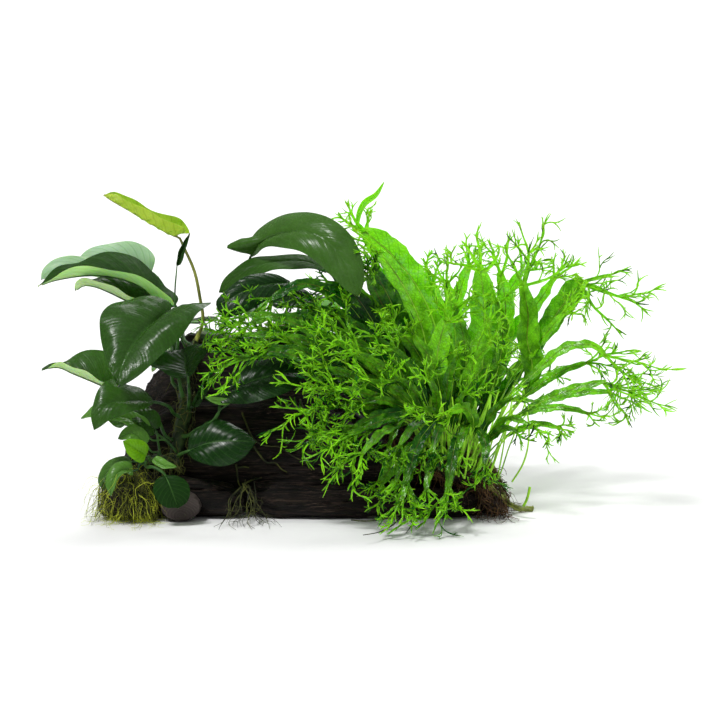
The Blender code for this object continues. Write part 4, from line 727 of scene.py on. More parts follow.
def leaf_finish(name, dark, bright, vein, gloss, side_veins, glow):
    """An anubias leaf: dark to bright with its tone, finer veins beside the midrib."""
    tree, shader, (across, along, tone) = start_finish(
        name, Coat_Weight=0.03 * gloss, Coat_Roughness=0.12, Specular_IOR_Level=0.15 * gloss,
        Subsurface_Weight=glow, Subsurface_Radius=(0.6, 1.0, 0.2), Subsurface_Scale=0.0015)
    side = maths(tree, "ABSOLUTE", across)
    run = maths(tree, "MULTIPLY", maths(tree, "SUBTRACT", along, maths(tree, "MULTIPLY", side, 0.3)), float(VEINS))
    wave = maths(tree, "PINGPONG", run, 0.5)
    line = span(tree, wave, 0.42, 0.5)
    fine = maths(tree, "PINGPONG", maths(tree, "MULTIPLY", run, 4.0), 0.5)
    rib = span(tree, side, 0.06, 0.015)
    cloud = patches(tree, 55.0)
    speck = patches(tree, 420.0, 2.0)
    body = blend(tree, span(tree, tone, 0.0, 1.4), dark, bright)
    body = blend(tree, maths(tree, "MULTIPLY", span(tree, cloud, 0.35, 0.75), 0.3), body, dark)
    body = blend(tree, maths(tree, "MULTIPLY", line, side_veins), body, vein)
    body = blend(tree, maths(tree, "MULTIPLY", span(tree, fine, 0.3, 0.5), side_veins * 0.3), body, vein)
    body = blend(tree, maths(tree, "MULTIPLY", rib, 0.45), body, vein)
    rough = span(tree, speck, 0.3, 0.75, 0.19 / gloss, 0.34 / gloss)
    height = maths(tree, "ADD", maths(tree, "MULTIPLY", wave, 1.2),
                   maths(tree, "ADD", maths(tree, "MULTIPLY", fine, 0.35), maths(tree, "MULTIPLY", speck, 0.35)))
    set_looks(tree, shader, body, rough, height, 0.00025)


def fern_finish(name, dark, bright, vein, gloss, glow):
    """A fern blade: brighter towards its crest, with a brown midrib, a fine net of veins and painted whitish sheen.
    """
    tree, shader, (across, along, tone) = start_finish(
        name, Coat_Weight=0.06 * gloss, Coat_Roughness=0.08, Specular_IOR_Level=0.18 * gloss,
        Subsurface_Weight=glow, Subsurface_Radius=(0.7, 1.2, 0.15), Subsurface_Scale=0.0015)
    side = maths(tree, "ABSOLUTE", across)
    run = maths(tree, "ADD", maths(tree, "MULTIPLY", along, 15.0), maths(tree, "MULTIPLY", side, -1.3))
    wave = maths(tree, "PINGPONG", run, 0.5)
    cloud = patches(tree, 160.0)
    speck = patches(tree, 600.0, 2.0)
    bright_share = maths(tree, "ADD", tone, span(tree, along, 0.85, 1.2, 0.0, 0.3))
    bright_share = maths(tree, "ADD", bright_share, span(tree, cloud, 0.3, 0.7, -0.15, 0.15))
    bright_share = maths(tree, "ADD", bright_share, span(tree, along, 0.15, 0.75, -0.42, 0.04))
    body = blend(tree, span(tree, bright_share, 0.0, 1.2), dark, bright)
    body = blend(tree, span(tree, wave, 0.42, 0.5, 0.0, 0.35), body, dark)
    place = tree.nodes.new("ShaderNodeTexCoord").outputs["Object"]
    net = add_node(tree, "TexVoronoi", {"feature": "DISTANCE_TO_EDGE"}, Vector=place, Scale=460.0)
    on_blade = span(tree, along, 1.05, 0.9)
    lines = maths(tree, "MULTIPLY", span(tree, net, 0.18, 0.02, 0.0, 0.22), on_blade)
    body = blend(tree, lines, body, dark)
    # painted sheen: whitish patches blended into the colour of the brighter blades, standing in for wet highlights
    sheen_patches = patches(tree, 95.0, 6.0, roughness=0.72)
    painted_sheen = maths(tree, "MULTIPLY", span(tree, sheen_patches, 0.5, 0.66, 0.0, 0.32), span(tree, tone, 0.45, 0.9))
    body = blend(tree, maths(tree, "MULTIPLY", painted_sheen, on_blade), body, (0.40, 0.62, 0.34))
    rib = maths(tree, "MULTIPLY", span(tree, side, 0.09, 0.02), span(tree, along, 1.0, 0.85))
    body = blend(tree, maths(tree, "MULTIPLY", rib, 0.7), body, vein)
    rough = span(tree, speck, 0.3, 0.75, 0.12 / gloss, 0.26 / gloss)
    height = maths(tree, "ADD", maths(tree, "MULTIPLY", wave, 0.8), maths(tree, "MULTIPLY", speck, 0.5))
    height = maths(tree, "ADD", height, span(tree, net, 0.0, 0.3, 0.0, 0.5))
    set_looks(tree, shader, body, rough, height, 0.0003)


def wood_finish(name, colours, wet):
    """Weathered wood: the mark holds how far a place stands out from the surface around it; low places get painted
    shade.
    """
    tree, shader, (raised, _, _) = start_finish(name, Specular_IOR_Level=0.16)
    grain = patches(tree, 10.0, 9.0, (1.0, 12.0, 12.0), 0.68)
    fibre = patches(tree, 30.0, 7.0, (1.0, 20.0, 20.0), 0.72)
    thread = patches(tree, 90.0, 5.0, (1.0, 14.0, 14.0), 0.7)
    cloud = patches(tree, 28.0, 3.0)
    crevice_shade_and_dark_grain, body, worn, pale = colours
    colour = blend(tree, span(tree, grain, 0.38, 0.6), crevice_shade_and_dark_grain, body)
    colour = blend(tree, maths(tree, "MULTIPLY", span(tree, fibre, 0.5, 0.64), 0.85), colour, worn)
    # pale streaks along the grain: partly the wood's own pale fibres, partly painted wet glints
    colour = blend(tree, maths(tree, "MULTIPLY", span(tree, thread, 0.54, 0.68),
                               span(tree, cloud, 0.42, 0.62, 0.15, 1.0)), colour, pale)
    colour = blend(tree, span(tree, thread, 0.46, 0.36), colour, crevice_shade_and_dark_grain)
    # painted shade: splits and other low places darkened towards the darkest colour
    colour = blend(tree, span(tree, raised, -0.1, -0.6), colour, crevice_shade_and_dark_grain)
    rough = span(tree, cloud, 0.35, 0.7, wet, wet + 0.25)
    height = maths(tree, "ADD", maths(tree, "MULTIPLY", grain, 1.3),
                   maths(tree, "ADD", fibre, maths(tree, "MULTIPLY", thread, 0.6)))
    set_looks(tree, shader, colour, rough, height, 0.0014)


def root_finish(name, dark, bright, rough_low):
    """Roots, stems and moss: blotched, with fine rings."""
    tree, shader, (_, along, tone) = start_finish(name, Specular_IOR_Level=0.3)
    cloud = patches(tree, 140.0)
    fleck = patches(tree, 900.0, 2.0)
    share = maths(tree, "ADD", tone, span(tree, cloud, 0.3, 0.7, -0.35, 0.35))
    colour = blend(tree, span(tree, share, 0.0, 1.0), dark, bright)
    rough = span(tree, cloud, 0.3, 0.7, rough_low, rough_low + 0.3)
    height = maths(tree, "ADD", fleck, maths(tree, "PINGPONG", maths(tree, "MULTIPLY", along, 14.0), 0.5))
    set_looks(tree, shader, colour, rough, height, 0.00015)


def sawn_finish(name):
    """The flat cut of the sawn branch: faint rings and dark blotches."""
    tree, shader, _ = start_finish(name, Specular_IOR_Level=0.2)
    place = tree.nodes.new("ShaderNodeTexCoord").outputs["Object"]
    centred = add_node(tree, "Mapping", Vector=place, Location=(0.077, 0, -0.006), Scale=(1, 0, 1.3))
    wander = patches(tree, 60.0)
    reach = tree.nodes.new("ShaderNodeVectorMath")
    reach.operation = "LENGTH"
    tree.links.new(centred, reach.inputs[0])
    ring = maths(tree, "PINGPONG", maths(tree, "ADD", maths(tree, "MULTIPLY", reach.outputs["Value"], 520.0),
                                         maths(tree, "MULTIPLY", wander, 2.2)), 0.5)
    blot = patches(tree, 45.0, 5.0)
    colour = blend(tree, span(tree, ring, 0.1, 0.5), (0.050, 0.039, 0.035), (0.062, 0.049, 0.044))
    colour = blend(tree, span(tree, blot, 0.5, 0.75, 0.0, 0.7), colour, (0.012, 0.0085, 0.007))
    rough = span(tree, blot, 0.3, 0.7, 0.45, 0.75)
    set_looks(tree, shader, colour, rough, maths(tree, "ADD", ring, blot), 0.0003)


def floor_finish(name):
    """A pale matt floor."""
    tree, shader, _ = start_finish(name, Specular_IOR_Level=0.2)
    cloud = patches(tree, 3.0)
    colour = blend(tree, cloud, (0.86, 0.86, 0.86), (0.88, 0.88, 0.88))
    set_looks(tree, shader, colour, span(tree, cloud, 0.3, 0.7, 0.8, 0.9), cloud, 0.00001)


def make_finishes():
    """Every material."""
    leaf_finish("leaf_top", (0.004, 0.024, 0.0025), (0.12, 0.29, 0.04), (0.05, 0.13, 0.025), 1.0, 0.3, 0.15)
    leaf_finish("dull_leaf", (0.004, 0.024, 0.0025), (0.12, 0.31, 0.03), (0.05, 0.13, 0.025), 0.45, 0.3, 0.15)
    leaf_finish("leaf_underside", (0.44, 0.62, 0.28), (0.58, 0.74, 0.42), (0.24, 0.44, 0.12), 0.6, 0.4, 0.8)
    # the rear leaves' pale grey-green: partly their own paler green, partly painted whitish haze of back light
    leaf_finish("pale_leaf_painted_haze", (0.15, 0.28, 0.10), (0.33, 0.46, 0.32), (0.10, 0.22, 0.06), 0.8, 0.5, 0.5)
    leaf_finish("new_leaf", (0.15, 0.25, 0.012), (0.42, 0.56, 0.06), (0.20, 0.24, 0.02), 0.7, 0.6, 0.6)
    leaf_finish("yellow_leaf", (0.03, 0.14, 0.003), (0.15, 0.36, 0.006), (0.08, 0.25, 0.01), 0.9, 0.2, 0.3)
    fern_finish("frond_top", (0.002, 0.052, 0.0006), (0.31, 0.90, 0.016), (0.10, 0.075, 0.012), 1.0, 0.45)
    fern_finish("frond_underside", (0.008, 0.10, 0.002), (0.33, 0.90, 0.035), (0.08, 0.07, 0.012), 0.7, 0.6)
    root_finish("frond_stalk", (0.08, 0.22, 0.010), (0.44, 0.90, 0.045), 0.3)
    root_finish("leaf_stalk", (0.006, 0.035, 0.005), (0.05, 0.15, 0.02), 0.3)
    root_finish("new_stalk", (0.12, 0.15, 0.02), (0.32, 0.34, 0.06), 0.35)
    root_finish("stem_skin", (0.006, 0.016, 0.004), (0.045, 0.085, 0.016), 0.35)
    root_finish("fern_stem_skin", (0.05, 0.06, 0.01), (0.30, 0.36, 0.06), 0.35)
    root_finish("brown_roots", (0.014, 0.007, 0.003), (0.13, 0.065, 0.022), 0.5)
    root_finish("green_roots", (0.010, 0.013, 0.004), (0.10, 0.11, 0.022), 0.5)
    root_finish("moss", (0.030, 0.034, 0.004), (0.60, 0.68, 0.055), 0.6)
    root_finish("root_core", (0.004, 0.0026, 0.0018), (0.022, 0.014, 0.009), 0.7)
    # the wood's colours: darkest grain, also used as painted shade in splits; body; worn fibres; pale fibres with
    # painted glints
    wood_finish("dark_wood", ((0.0010, 0.0007, 0.0006), (0.009, 0.0058, 0.0042), (0.040, 0.025, 0.018),
                              (0.11, 0.075, 0.056)), 0.45)
    sawn_finish("cut_wood")
    floor_finish("pale_floor")


# ---- wood ----

def wood_height(places):
    """How far wood stands out in millimetres at an array of places, and how far it seems raised, which sets the
    painted shade in splits.
    """
    p = places / MM
    wander = noise(p / (45, 16, 16), 3)
    turned_grain = p + np.stack([0 * wander, 3.5 * wander, 3.5 * wander], -1)
    ridge = 1 - 2 * np.abs(noise(turned_grain / (60, 7, 6), 2))
    fine = 1 - 2 * np.abs(noise(turned_grain / (30, 2.8, 2.5), 4))
    fibre = noise(turned_grain / (14, 1.5, 1.4), 5)
    split = np.clip(1 - np.abs(noise(turned_grain / (75, 9, 7), 6)) / 0.08, 0, 1)
    height = 0.5 * noise(p / (34, 19, 15), 1) + 0.9 * ridge + 0.6 * fine + 0.35 * fibre - 1.7 * split
    return height, ridge * 0.5 + fine * 0.4 + fibre * 0.3 - split


def roughened(name, cell, strength, inset=0.5, size=1.0, smoothing=3):
    """A solid finely divided, scaled on the spot and roughened along the grain, a little further in."""
    copy = bpy.data.objects.new("scratch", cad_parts[name].data.copy())
    bpy.context.scene.collection.objects.link(copy)
    grid = copy.modifiers.new("grid", "REMESH")
    grid.mode = "VOXEL"
    grid.voxel_size = cell
    relax = copy.modifiers.new("relax", "SMOOTH")
    relax.iterations = smoothing
    relax.factor = 0.6
    dense = bpy.data.meshes.new_from_object(copy.evaluated_get(bpy.context.evaluated_depsgraph_get()))
    bpy.data.objects.remove(copy)
    places = np.zeros(len(dense.vertices) * 3)
    outward = np.zeros(len(dense.vertices) * 3)
    dense.vertices.foreach_get("co", places)
    dense.vertices.foreach_get("normal", outward)
    places, outward = places.reshape(-1, 3), outward.reshape(-1, 3)
    spot = np.append(places[:, :2].mean(axis=0), places[:, 2].min())
    places = spot + (places - spot) * size
    height, raised = wood_height(places)
    off_floor = np.clip((places[:, 2] - 0.5 * MM) / (4 * MM), 0, 1)
    moved = places + outward * ((height * strength - inset) * MM * off_floor)[:, None]
    moved[:, 2] = np.maximum(moved[:, 2], 0.1 * MM)
    skin = Skin()
    skin.add_points(moved, np.column_stack([raised, places[:, 0] / 10 / MM, 0 * height + 0.4]))
    for corners in (3, 4):
        faces = [tuple(p.vertices) for p in dense.polygons if len(p.vertices) == corners]
        if faces:
            skin.add_faces(np.array(faces), 0)
    bpy.data.meshes.remove(dense)
    return skin


def make_all_wood():
    """The four pieces of wood."""
    for name, cell in (("driftwood_trunk", 1.3 * MM), ("driftwood_lower_limb_left", 1.0 * MM),
                       ("driftwood_lower_limb_right", 1.1 * MM)):
        piece = roughened(name, cell, 1.0).build(name.replace("driftwood", "wood"), ["dark_wood"], 80)
        place_piece(piece, "wet_dark_wood", name)
    stub = roughened("driftwood_sawn_stub", 0.5 * MM, 0.08, 0.2, smoothing=0)
    piece = stub.build("wood_sawn_stub", ["cut_wood"], 30)
    place_piece(piece, "sawn_wood", "driftwood_sawn_stub")


# ---- leaves ----

VEINS = 9
LEAF_ROWS = (34, 54)
LEAF_COLUMNS = np.array([-1, -0.9, -0.75, -0.6, -0.45, -0.3, -0.17, -0.07, 0, 0.07, 0.17, 0.3, 0.45, 0.6, 0.75,
                         0.9, 1])
SMALL_LEAF_COLUMNS = np.array([-1, -0.8, -0.55, -0.3, -0.1, 0, 0.1, 0.3, 0.55, 0.8, 1])
SMALL_LEAF = 62 * MM
LEAF_THICKNESS = 0.55 * MM


def grid_normals(grid, out):
    """The surface's direction at each point of a grid, on the side that out looks to."""
    normals = np.cross(np.gradient(grid, axis=1), np.gradient(grid, axis=0))
    size = np.linalg.norm(normals, axis=-1, keepdims=True)
    fallback = unit(normals.sum(axis=(0, 1)))
    normals = np.where(size > 1e-12, normals / np.maximum(size, 1e-12), fallback)
    return normals if (normals @ np.array(out)).mean() > 0 else -normals


def skin_leaf(skin, stem, rib, far, near, out, crown, tone, quilt, seed, slots=(0, 1, 2), stalk_radius=1.15):
    """One anubias leaf: a round stalk and a blade between its margins, with quilted halves."""
    small = np.linalg.norm(np.diff(rib, axis=0), axis=1).sum() < SMALL_LEAF
    rows = LEAF_ROWS[0 if small else 1]
    shares = np.linspace(0, 1, rows) ** 1.15
    rib_line = smooth_curve(rib, shares)
    lines = {-1: smooth_curve(far, shares), 1: smooth_curve(near, shares)}
    t = SMALL_LEAF_COLUMNS if small else LEAF_COLUMNS
    grid = np.zeros((rows, len(t), 3))
    for column, place in enumerate(t):
        margin = lines[1 if place > 0 else -1]
        grid[:, column] = rib_line + (margin - rib_line) * abs(place)
    first = unit(np.cross(grid[:, -1] - grid[:, 0], np.gradient(rib_line, axis=0)))
    if (first @ np.array(out)).mean() > 0:
        grid = grid[:, ::-1]
        t = t[::-1]
    else:
        first = -first
    normals = grid_normals(grid, out)
    half = np.linalg.norm(grid - rib_line[:, None], axis=-1)
    widest = half.max()
    side = np.abs(t)[None, :]
    run = shares[:, None]
    reach = np.maximum(half[:, [0]], half[:, [-1]])
    bulge = crown * reach * 4 * side * (1 - side)
    phase = run - 0.3 * side
    uneven = noise(np.stack(np.broadcast_arrays(run * 9, t[None, :] * 3, float(seed)), -1), 7)
    ripple = (0.5 * MM * quilt * (np.sin(2 * math.pi * VEINS * phase) + 0.9 * uneven)
              * (side * (1 - side) * 4) ** 0.7 * np.clip(widest / (22 * MM), 0.3, 1.2))
    groove = -0.5 * MM * np.exp(-(side / 0.07) ** 2) * (1 - run)
    wave = 0.045 * widest * np.sin(2 * math.pi * (2.7 * run + 0.17 * seed) + t[None, :] * 1.3) * side ** 3
    broad = 0.02 * widest * np.sin(2 * math.pi * (1.2 * run + 0.31 * seed)) * side
    middle = grid + normals * (bulge + ripple + groove + wave + broad)[..., None] * np.clip(run * 8, 0, 1)[..., None]
    normals = grid_normals(middle, out)
    marks = np.stack(np.broadcast_arrays(t[None, :], run, float(tone)), -1)
    if (np.cross(middle[1, 1] - middle[1, 0], middle[2, 0] - middle[1, 0]) @ normals[1, 0]) < 0:
        middle, normals, marks = middle[:, ::-1], normals[:, ::-1], marks[:, ::-1]
    thin = LEAF_THICKNESS * (1 - 0.55 * np.abs(marks[..., 0]))
    skin.shell(middle, normals, thin, marks, slots[0], slots[1])
    stalk = smooth_curve([*stem, rib_line[0], rib_line[2] - normals[2, len(t) // 2] * 0.4 * MM],
                         np.linspace(0, 1, 18))
    taper = np.interp(np.linspace(0, 1, 18), [0, 0.12, 0.9, 1], [1.35, 1.0, 0.8, 0.5]) * stalk_radius * MM
    skin.tube(stalk, taper, 9, 0.45, slots[2])
    keel = smooth_curve(rib, np.linspace(0.01, 0.97, 20))
    lower = np.stack([np.interp(np.linspace(0.01, 0.97, 20), shares, normals[:, len(t) // 2, axis])
                      for axis in range(3)], -1)
    keel = keel - lower * 0.55 * MM
    skin.tube(keel, np.linspace(0.75, 0.22, 20) * stalk_radius * MM, 6, 0.6, slots[2])


def leaf_outline(share, fullness=0.06, point=0.8):
    """Half the width of a blade along its midrib, as a share of its greatest."""
    def outline(place):
        return ((place + fullness) / (1 + fullness)) ** 0.5 * (1 - place) ** point
    return outline(share) / outline(np.linspace(0, 1, 60)).max()


def margins_of(blade, width, face, fold, lobe):
    """The two margins of a leaf that is given by its midrib and width."""
    shares = np.linspace(0, 1, 16)
    rib = smooth_curve(blade, shares)
    along = unit(np.gradient(rib, axis=0))
    across = unit(np.cross(along, np.array(face, dtype=float)))
    out = np.cross(across, along)
    half = width / 2 * MM * leaf_outline(shares)
    length = np.linalg.norm(np.diff(rib, axis=0), axis=1).sum()
    back = lobe * length * np.clip(1 - shares / 0.34, 0, 1) ** 1.5
    lift = math.sin(math.radians(fold))
    flat = math.cos(math.radians(fold))
    sides = []
    for way in (-1, 1):
        line = rib + across * (way * half * flat)[:, None] + out * (half * lift)[:, None]
        line = line - along * back[:, None]
        sides.append(np.vstack([rib[:1], line[0 if lobe else 1:-1], rib[-1:]]))
    return rib, sides[0], sides[1]


def make_leaves():
    """Every anubias leaf with a node, and the small ones as one piece."""
    carriers = {"anubias_leaf_top": "anubias_top_rhizome", "anubias_leaf_round": "anubias_side_shoot"}
    for number, (name, shape) in enumerate(SHOWN_LEAVES.items()):
        carrier = next((node for start, node in carriers.items() if name.startswith(start)), "anubias_rhizome")
        path = [seen(*place) for place in shape["stalk"]]
        foot, outward = foot_of(carrier, path[0])
        stem = [foot, foot + outward * 3 * MM, *path[1:]]
        skin = Skin()
        lines = {key: [seen(*place) for place in shape[key]] for key in ("rib", "far", "near")}
        skin_leaf(skin, stem, out=shape["out"], crown=shape["crown"], tone=shape["tone"], quilt=shape["quilt"],
                  seed=number, **lines)
        young = name == "anubias_leaf_new_rolled"
        # leaves with the highest tone get the pale finish with painted haze
        upper = "dull_leaf" if name in DULL_LEAVES else "pale_leaf_painted_haze" if shape["tone"] > 1.1 else "leaf_top"
        finishes = ["new_leaf", "new_leaf", "new_stalk"] if young else [upper, "leaf_underside", "leaf_stalk"]
        piece = skin.build(name.replace("anubias_leaf", "broad_leaf"), finishes)
        place_piece(piece, "young_leaf" if young else "anubias_leaf", name)
    for number, (name, shape) in enumerate(PLAIN_LEAVES.items()):
        skin = Skin()
        skin_plain_leaf(skin, number + 40, **shape)
        young = name == "anubias_leaf_shoot_yellow"
        finishes = ["yellow_leaf" if young else "leaf_top", "leaf_underside", "leaf_stalk"]
        piece = skin.build(name.replace("anubias_leaf", "broad_leaf"), finishes)
        place_piece(piece, "young_leaf" if young else "anubias_leaf", name)
    skin = Skin()
    for number, shape in enumerate(SMALL_LEAVES):
        skin_plain_leaf(skin, number + 60, **shape)
    place_piece(skin.build("broad_small_leaves", ["leaf_top", "leaf_underside", "leaf_stalk"]), "anubias_leaf")


def skin_plain_leaf(skin, seed, on, stalk, blade, width, face, fold, tone, lobe=0):
    """One leaf that is given by its midrib and width."""
    path = [seen(*place) for place in stalk]
    foot, outward = foot_of(on, path[0])
    stem = [foot, foot + outward * 2 * MM, *path[1:]]
    rib, far, near = margins_of([seen(*place) for place in blade], width, face, fold, lobe)
    skin_leaf(skin, stem, rib, far, near, face, 0.08, tone, 0.3, seed, stalk_radius=0.5 + width / 60)


# ---- fern ----

FROND_ROWS = (28, 62)
FROND_ROW_LENGTH = 2.4 * MM
FROND_COLUMNS = np.array([-1, -0.66, -0.33, 0, 0.33, 0.66, 1])
SLIM_FROND_COLUMNS = np.array([-1, -0.5, 0, 0.5, 1])
FROND_THICKNESS = 0.45 * MM
LEAST_HEIGHT = 1.2 * MM


def turned(vector, axis, angle):
    """A vector turned about a unit axis."""
    return (vector * math.cos(angle) + np.cross(axis, vector) * math.sin(angle)
            + axis * (axis @ vector) * (1 - math.cos(angle)))


def skin_ribbon(skin, path, outs, half, tone, along_mark, columns=(-1, 0, 1)):
    """A thin closed ribbon along a path, a little folded along its middle."""
    along = unit(np.gradient(path, axis=0))
    sides = unit(np.cross(along, outs))
    outs = np.cross(sides, along)
    columns = np.array(columns, dtype=float)
    middle = (path[:, None] + sides[:, None] * (half[:, None] * columns)[..., None]
              + outs[:, None] * (half[:, None] * (np.abs(columns) - 0.5) * 0.55)[..., None])
    marks = np.stack(np.broadcast_arrays(columns[None, :], along_mark[:, None], float(tone)), -1)
    thin = np.minimum(FROND_THICKNESS, half[:, None] * 1.2)
    skin.shell(middle, np.broadcast_to(outs[:, None], middle.shape), thin, marks, 0, 1)


def grow_tine(skin, dice, start, ahead, out, length, width, level, tone):
    """One slender ribbon of a crest: pointed, or forking into finer ones."""
    steps = 5 if level else 4
    bend, lift, twist = dice.normal(0, (0.2, 0.15, 0.12))
    place = start
    places, outs = [start], [out]
    for _ in range(steps - 1):
        across = unit(np.cross(ahead, out))
        ahead = unit(ahead + across * bend + out * lift)
        out = turned(np.cross(unit(np.cross(ahead, out)), ahead), ahead, twist)
        place = place + ahead * length / (steps - 1)
        place[2] = max(place[2], LEAST_HEIGHT)
        places.append(place)
        outs.append(out)
    share = np.linspace(0, 1, steps)
    tone = tone + dice.normal(0, 0.24)
    half = width / 2 * ((1 - 0.2 * share) if level else (1 - 0.66 * share ** 2))
    columns = (-1, 0, 1) if level else (-1, 1)
    skin_ribbon(skin, np.array(places), np.array(outs), half, tone, 1.05 + 0.3 * share, columns)
    if not level:
        return
    spread = dice.uniform(0.3, 0.65)
    lean = dice.uniform(-0.15, 0.15)
    count = 3 if dice.random() < 0.3 else 2
    for share in np.linspace(-0.5, 0.5, count):
        direction = turned(ahead, out, share * spread + lean + dice.normal(0, 0.08))
        plane = turned(out, ahead, dice.normal(0, 0.5))
        grow_tine(skin, dice, place - ahead * width * 0.3, direction, plane,
                  length * dice.uniform(0.75, 1.2), width * 0.84, level - 1, tone)
    if dice.random() < 0.6:
        direction = turned(ahead, outs[2], dice.choice((-1, 1)) * dice.uniform(0.35, 0.65))
        grow_tine(skin, dice, places[2].copy(), direction, outs[2], length * dice.uniform(0.7, 1.1), width * 0.75, 0, tone)


def grow_branch(skin, dice, start, goal, out, width, tone):
    """A main branch of a crest from the blade's end to an outer tip, with forks at its sides."""
    reach = np.linalg.norm(goal - start)
    ahead = unit(goal - start)
    across = unit(np.cross(ahead, out))
    out = np.cross(across, ahead)
    count = max(6, int(reach / (4.2 * MM)))
    share = np.linspace(0, 1, count)
    sway = dice.normal(0, 0.07) * reach
    sag = dice.normal(0, 0.05) * reach
    arc = np.sin(math.pi * share)
    snake = np.sin(math.pi * share * 3 + dice.uniform(0, 6)) * reach * 0.025 * share
    path = (start + (goal - start) * share[:, None] + across * (sway * arc + snake)[:, None]
            + out * (sag * arc)[:, None])
    path[:, 2] = np.maximum(path[:, 2], LEAST_HEIGHT)
    along = unit(np.gradient(path, axis=0))
    outs = unit(np.array([turned(out, axis, 0.5 * math.sin(5 * place + sway * 700))
                          for axis, place in zip(along, share)]))
    half = width / 2 * (1 - 0.68 * share ** 0.8) * (1 + 0.15 * np.sin(share * 17 + sway * 900))
    skin_ribbon(skin, path, outs, half, tone, 1.0 + 0.25 * share)
    way = dice.choice((-1, 1))
    size = min(max(reach * 0.26, 4.6 * MM), 8.5 * MM)
    for step in range(1, count - 1):
        if dice.random() < 0.12:
            continue
        way = -way
        direction = turned(along[step], outs[step], way * dice.uniform(0.3, 0.65))
        plane = turned(outs[step], along[step], dice.normal(0, 0.6))
        level = int(dice.choice((0, 1, 1, 2))) if step < count * 0.75 else int(dice.choice((0, 1)))
        grow_tine(skin, dice, path[step], unit(direction + plane * dice.normal(0, 0.3)), plane,
                  size * dice.uniform(0.7, 1.2), dice.uniform(0.85, 1.3) * MM, level, tone)
    for turn in (-0.22, 0.22):
        grow_tine(skin, dice, path[-2], turned(along[-1], outs[-1], turn), outs[-1], size, 0.95 * MM, 0, tone)


def frond_profile(share, base, peak, shoulder):
    """Half the width of a frond along its midrib, as a share of its greatest."""
    rise = np.clip((share - base) / (peak - base), 0, 1)
    rise = rise * rise * (3 - 2 * rise)
    fall = 1 - 0.66 * np.clip((share - shoulder) / (1 - shoulder), 0, 1) ** 1.8
    return rise * fall


def skin_frond(skin, dice, on, path, width, face, tips, tone, base=0.16, peak=0, trim=1.0, shoulder=0.7,
               fold=0.2, curl=()):
    """One fern frond: stalk and raised midrib, a wavy blade and a finely forked crest."""
    path = [seen(*place) for place in path]
    foot, outward = foot_of(on, path[0])
    points = [foot, foot + outward * 2.5 * MM, *path[1:]]
    width = width * trim
    length = np.linalg.norm(np.diff(points, axis=0), axis=1).sum()
    share = np.linspace(0, 1, int(np.clip(length / FROND_ROW_LENGTH, *FROND_ROWS)))
    rib = smooth_curve(points, share)
    along = unit(np.gradient(rib, axis=0))
    across = unit(np.cross(along, np.array(face, dtype=float)))
    out = np.cross(across, along)
    wavy = np.interp(width, (7, 15), (0.13, 0.065))
    turns = length / (np.interp(width, (7, 15), (11, 17)) * MM)
    shift = dice.uniform(0, 6, 4)
    columns = FROND_COLUMNS if width > 8 else SLIM_FROND_COLUMNS
    profile = frond_profile(share, base, peak or base + 0.36, shoulder)
    edges = [1 + wavy * (np.sin(2 * math.pi * turns * share + shift[side])
                         + 0.5 * np.sin(2 * math.pi * turns * 2.3 * share + shift[side + 2])) for side in (0, 1)]
    half = width / 2 * MM * profile
    reach = np.where(columns[None, :] < 0, (half * edges[0])[:, None], (half * edges[1])[:, None])
    ruffle = (1.1 * wavy * width * MM * np.sin(2 * math.pi * turns * share[:, None] * 0.8 + shift[0] + columns * 2.2)
              * np.abs(columns)[None, :] ** 1.6 * profile[:, None])
    ruffle += (0.55 * MM * np.sin(2 * math.pi * length / (10 * MM) * share[:, None] + shift[1] + columns * 1.7)
               * np.abs(columns)[None, :] ** 3 * profile[:, None])
    cup = fold * half[:, None] * np.abs(columns)[None, :]
    side = np.abs(columns)[None, :]
    veins = length / (8 * MM) * share[:, None] - 0.9 * side + 0.3 * noise(
        np.stack(np.broadcast_arrays(share[:, None] * 14, columns[None, :], shift[0]), -1), 3)
    quilt = 0.34 * MM * np.sin(2 * math.pi * veins) * np.sqrt(side * (1.25 - side) * 2.5) * profile[:, None]
    middle = (rib[:, None] + across[:, None] * (reach * columns)[..., None]
              + out[:, None] * (ruffle + cup + quilt)[..., None])
    normals = grid_normals(middle, face)
    marks = np.stack(np.broadcast_arrays(columns[None, :], share[:, None], float(tone)), -1)
    first = int(np.argmax(profile > 0.02)) - 1
    sheet, way, paint = middle[first:], normals[first:], marks[first:]
    if (np.cross(sheet[9, 1] - sheet[9, 0], sheet[10, 0] - sheet[9, 0]) @ way[9, 0]) < 0:
        sheet, way, paint = sheet[:, ::-1], way[:, ::-1], paint[:, ::-1]
    skin.shell(sheet, way, FROND_THICKNESS, paint, 0, 1)
    thick = np.interp(share, [0, 0.05, 0.2, 0.7, 1], [1.5, 1.05, 0.85, 0.5, 0.3]) * MM * (0.5 + width / 32)
    skin.tube(rib - out * 0.12 * MM, thick, 6, 0.35 + 0.45 * tone, 2)
    for tip in tips:
        grow_branch(skin, dice, rib[-2], tip, out[-1], np.interp(width, (6, 18), (1.7, 3.2)) * MM, tone)
    if curl:
        strip = smooth_curve([seen(*place) for place in curl], np.linspace(0, 1, 16))
        place = np.linspace(0, 1, 16)
        half = 2.3 * MM * np.sin(math.pi * (0.12 + 0.86 * place)) ** 0.8
        skin_ribbon(skin, strip, np.broadcast_to(unit(np.array([0.6, -0.8, 0.1])), strip.shape), half, tone,
                    1 + 0 * place)


def fan_tips(dice, path, face, size, count):
    """The outer tips of a small crest, spread beyond the end of the midrib."""
    end = np.array(seen(*path[-1]))
    ahead = unit(end - np.array(seen(*path[-2])))
    across = unit(np.cross(ahead, np.array(face, dtype=float)))
    out = np.cross(across, ahead)
    tips = []
    for angle in np.linspace(-0.85, 0.85, count) + dice.normal(0, 0.12, count):
        direction = turned(ahead, out, angle) + out * dice.normal(0, 0.3) - UP * 0.12
        tip = end + unit(direction) * size * MM * dice.uniform(0.65, 1.05)
        tips.append(np.maximum(tip, (-9, -9, LEAST_HEIGHT)))
    return tips


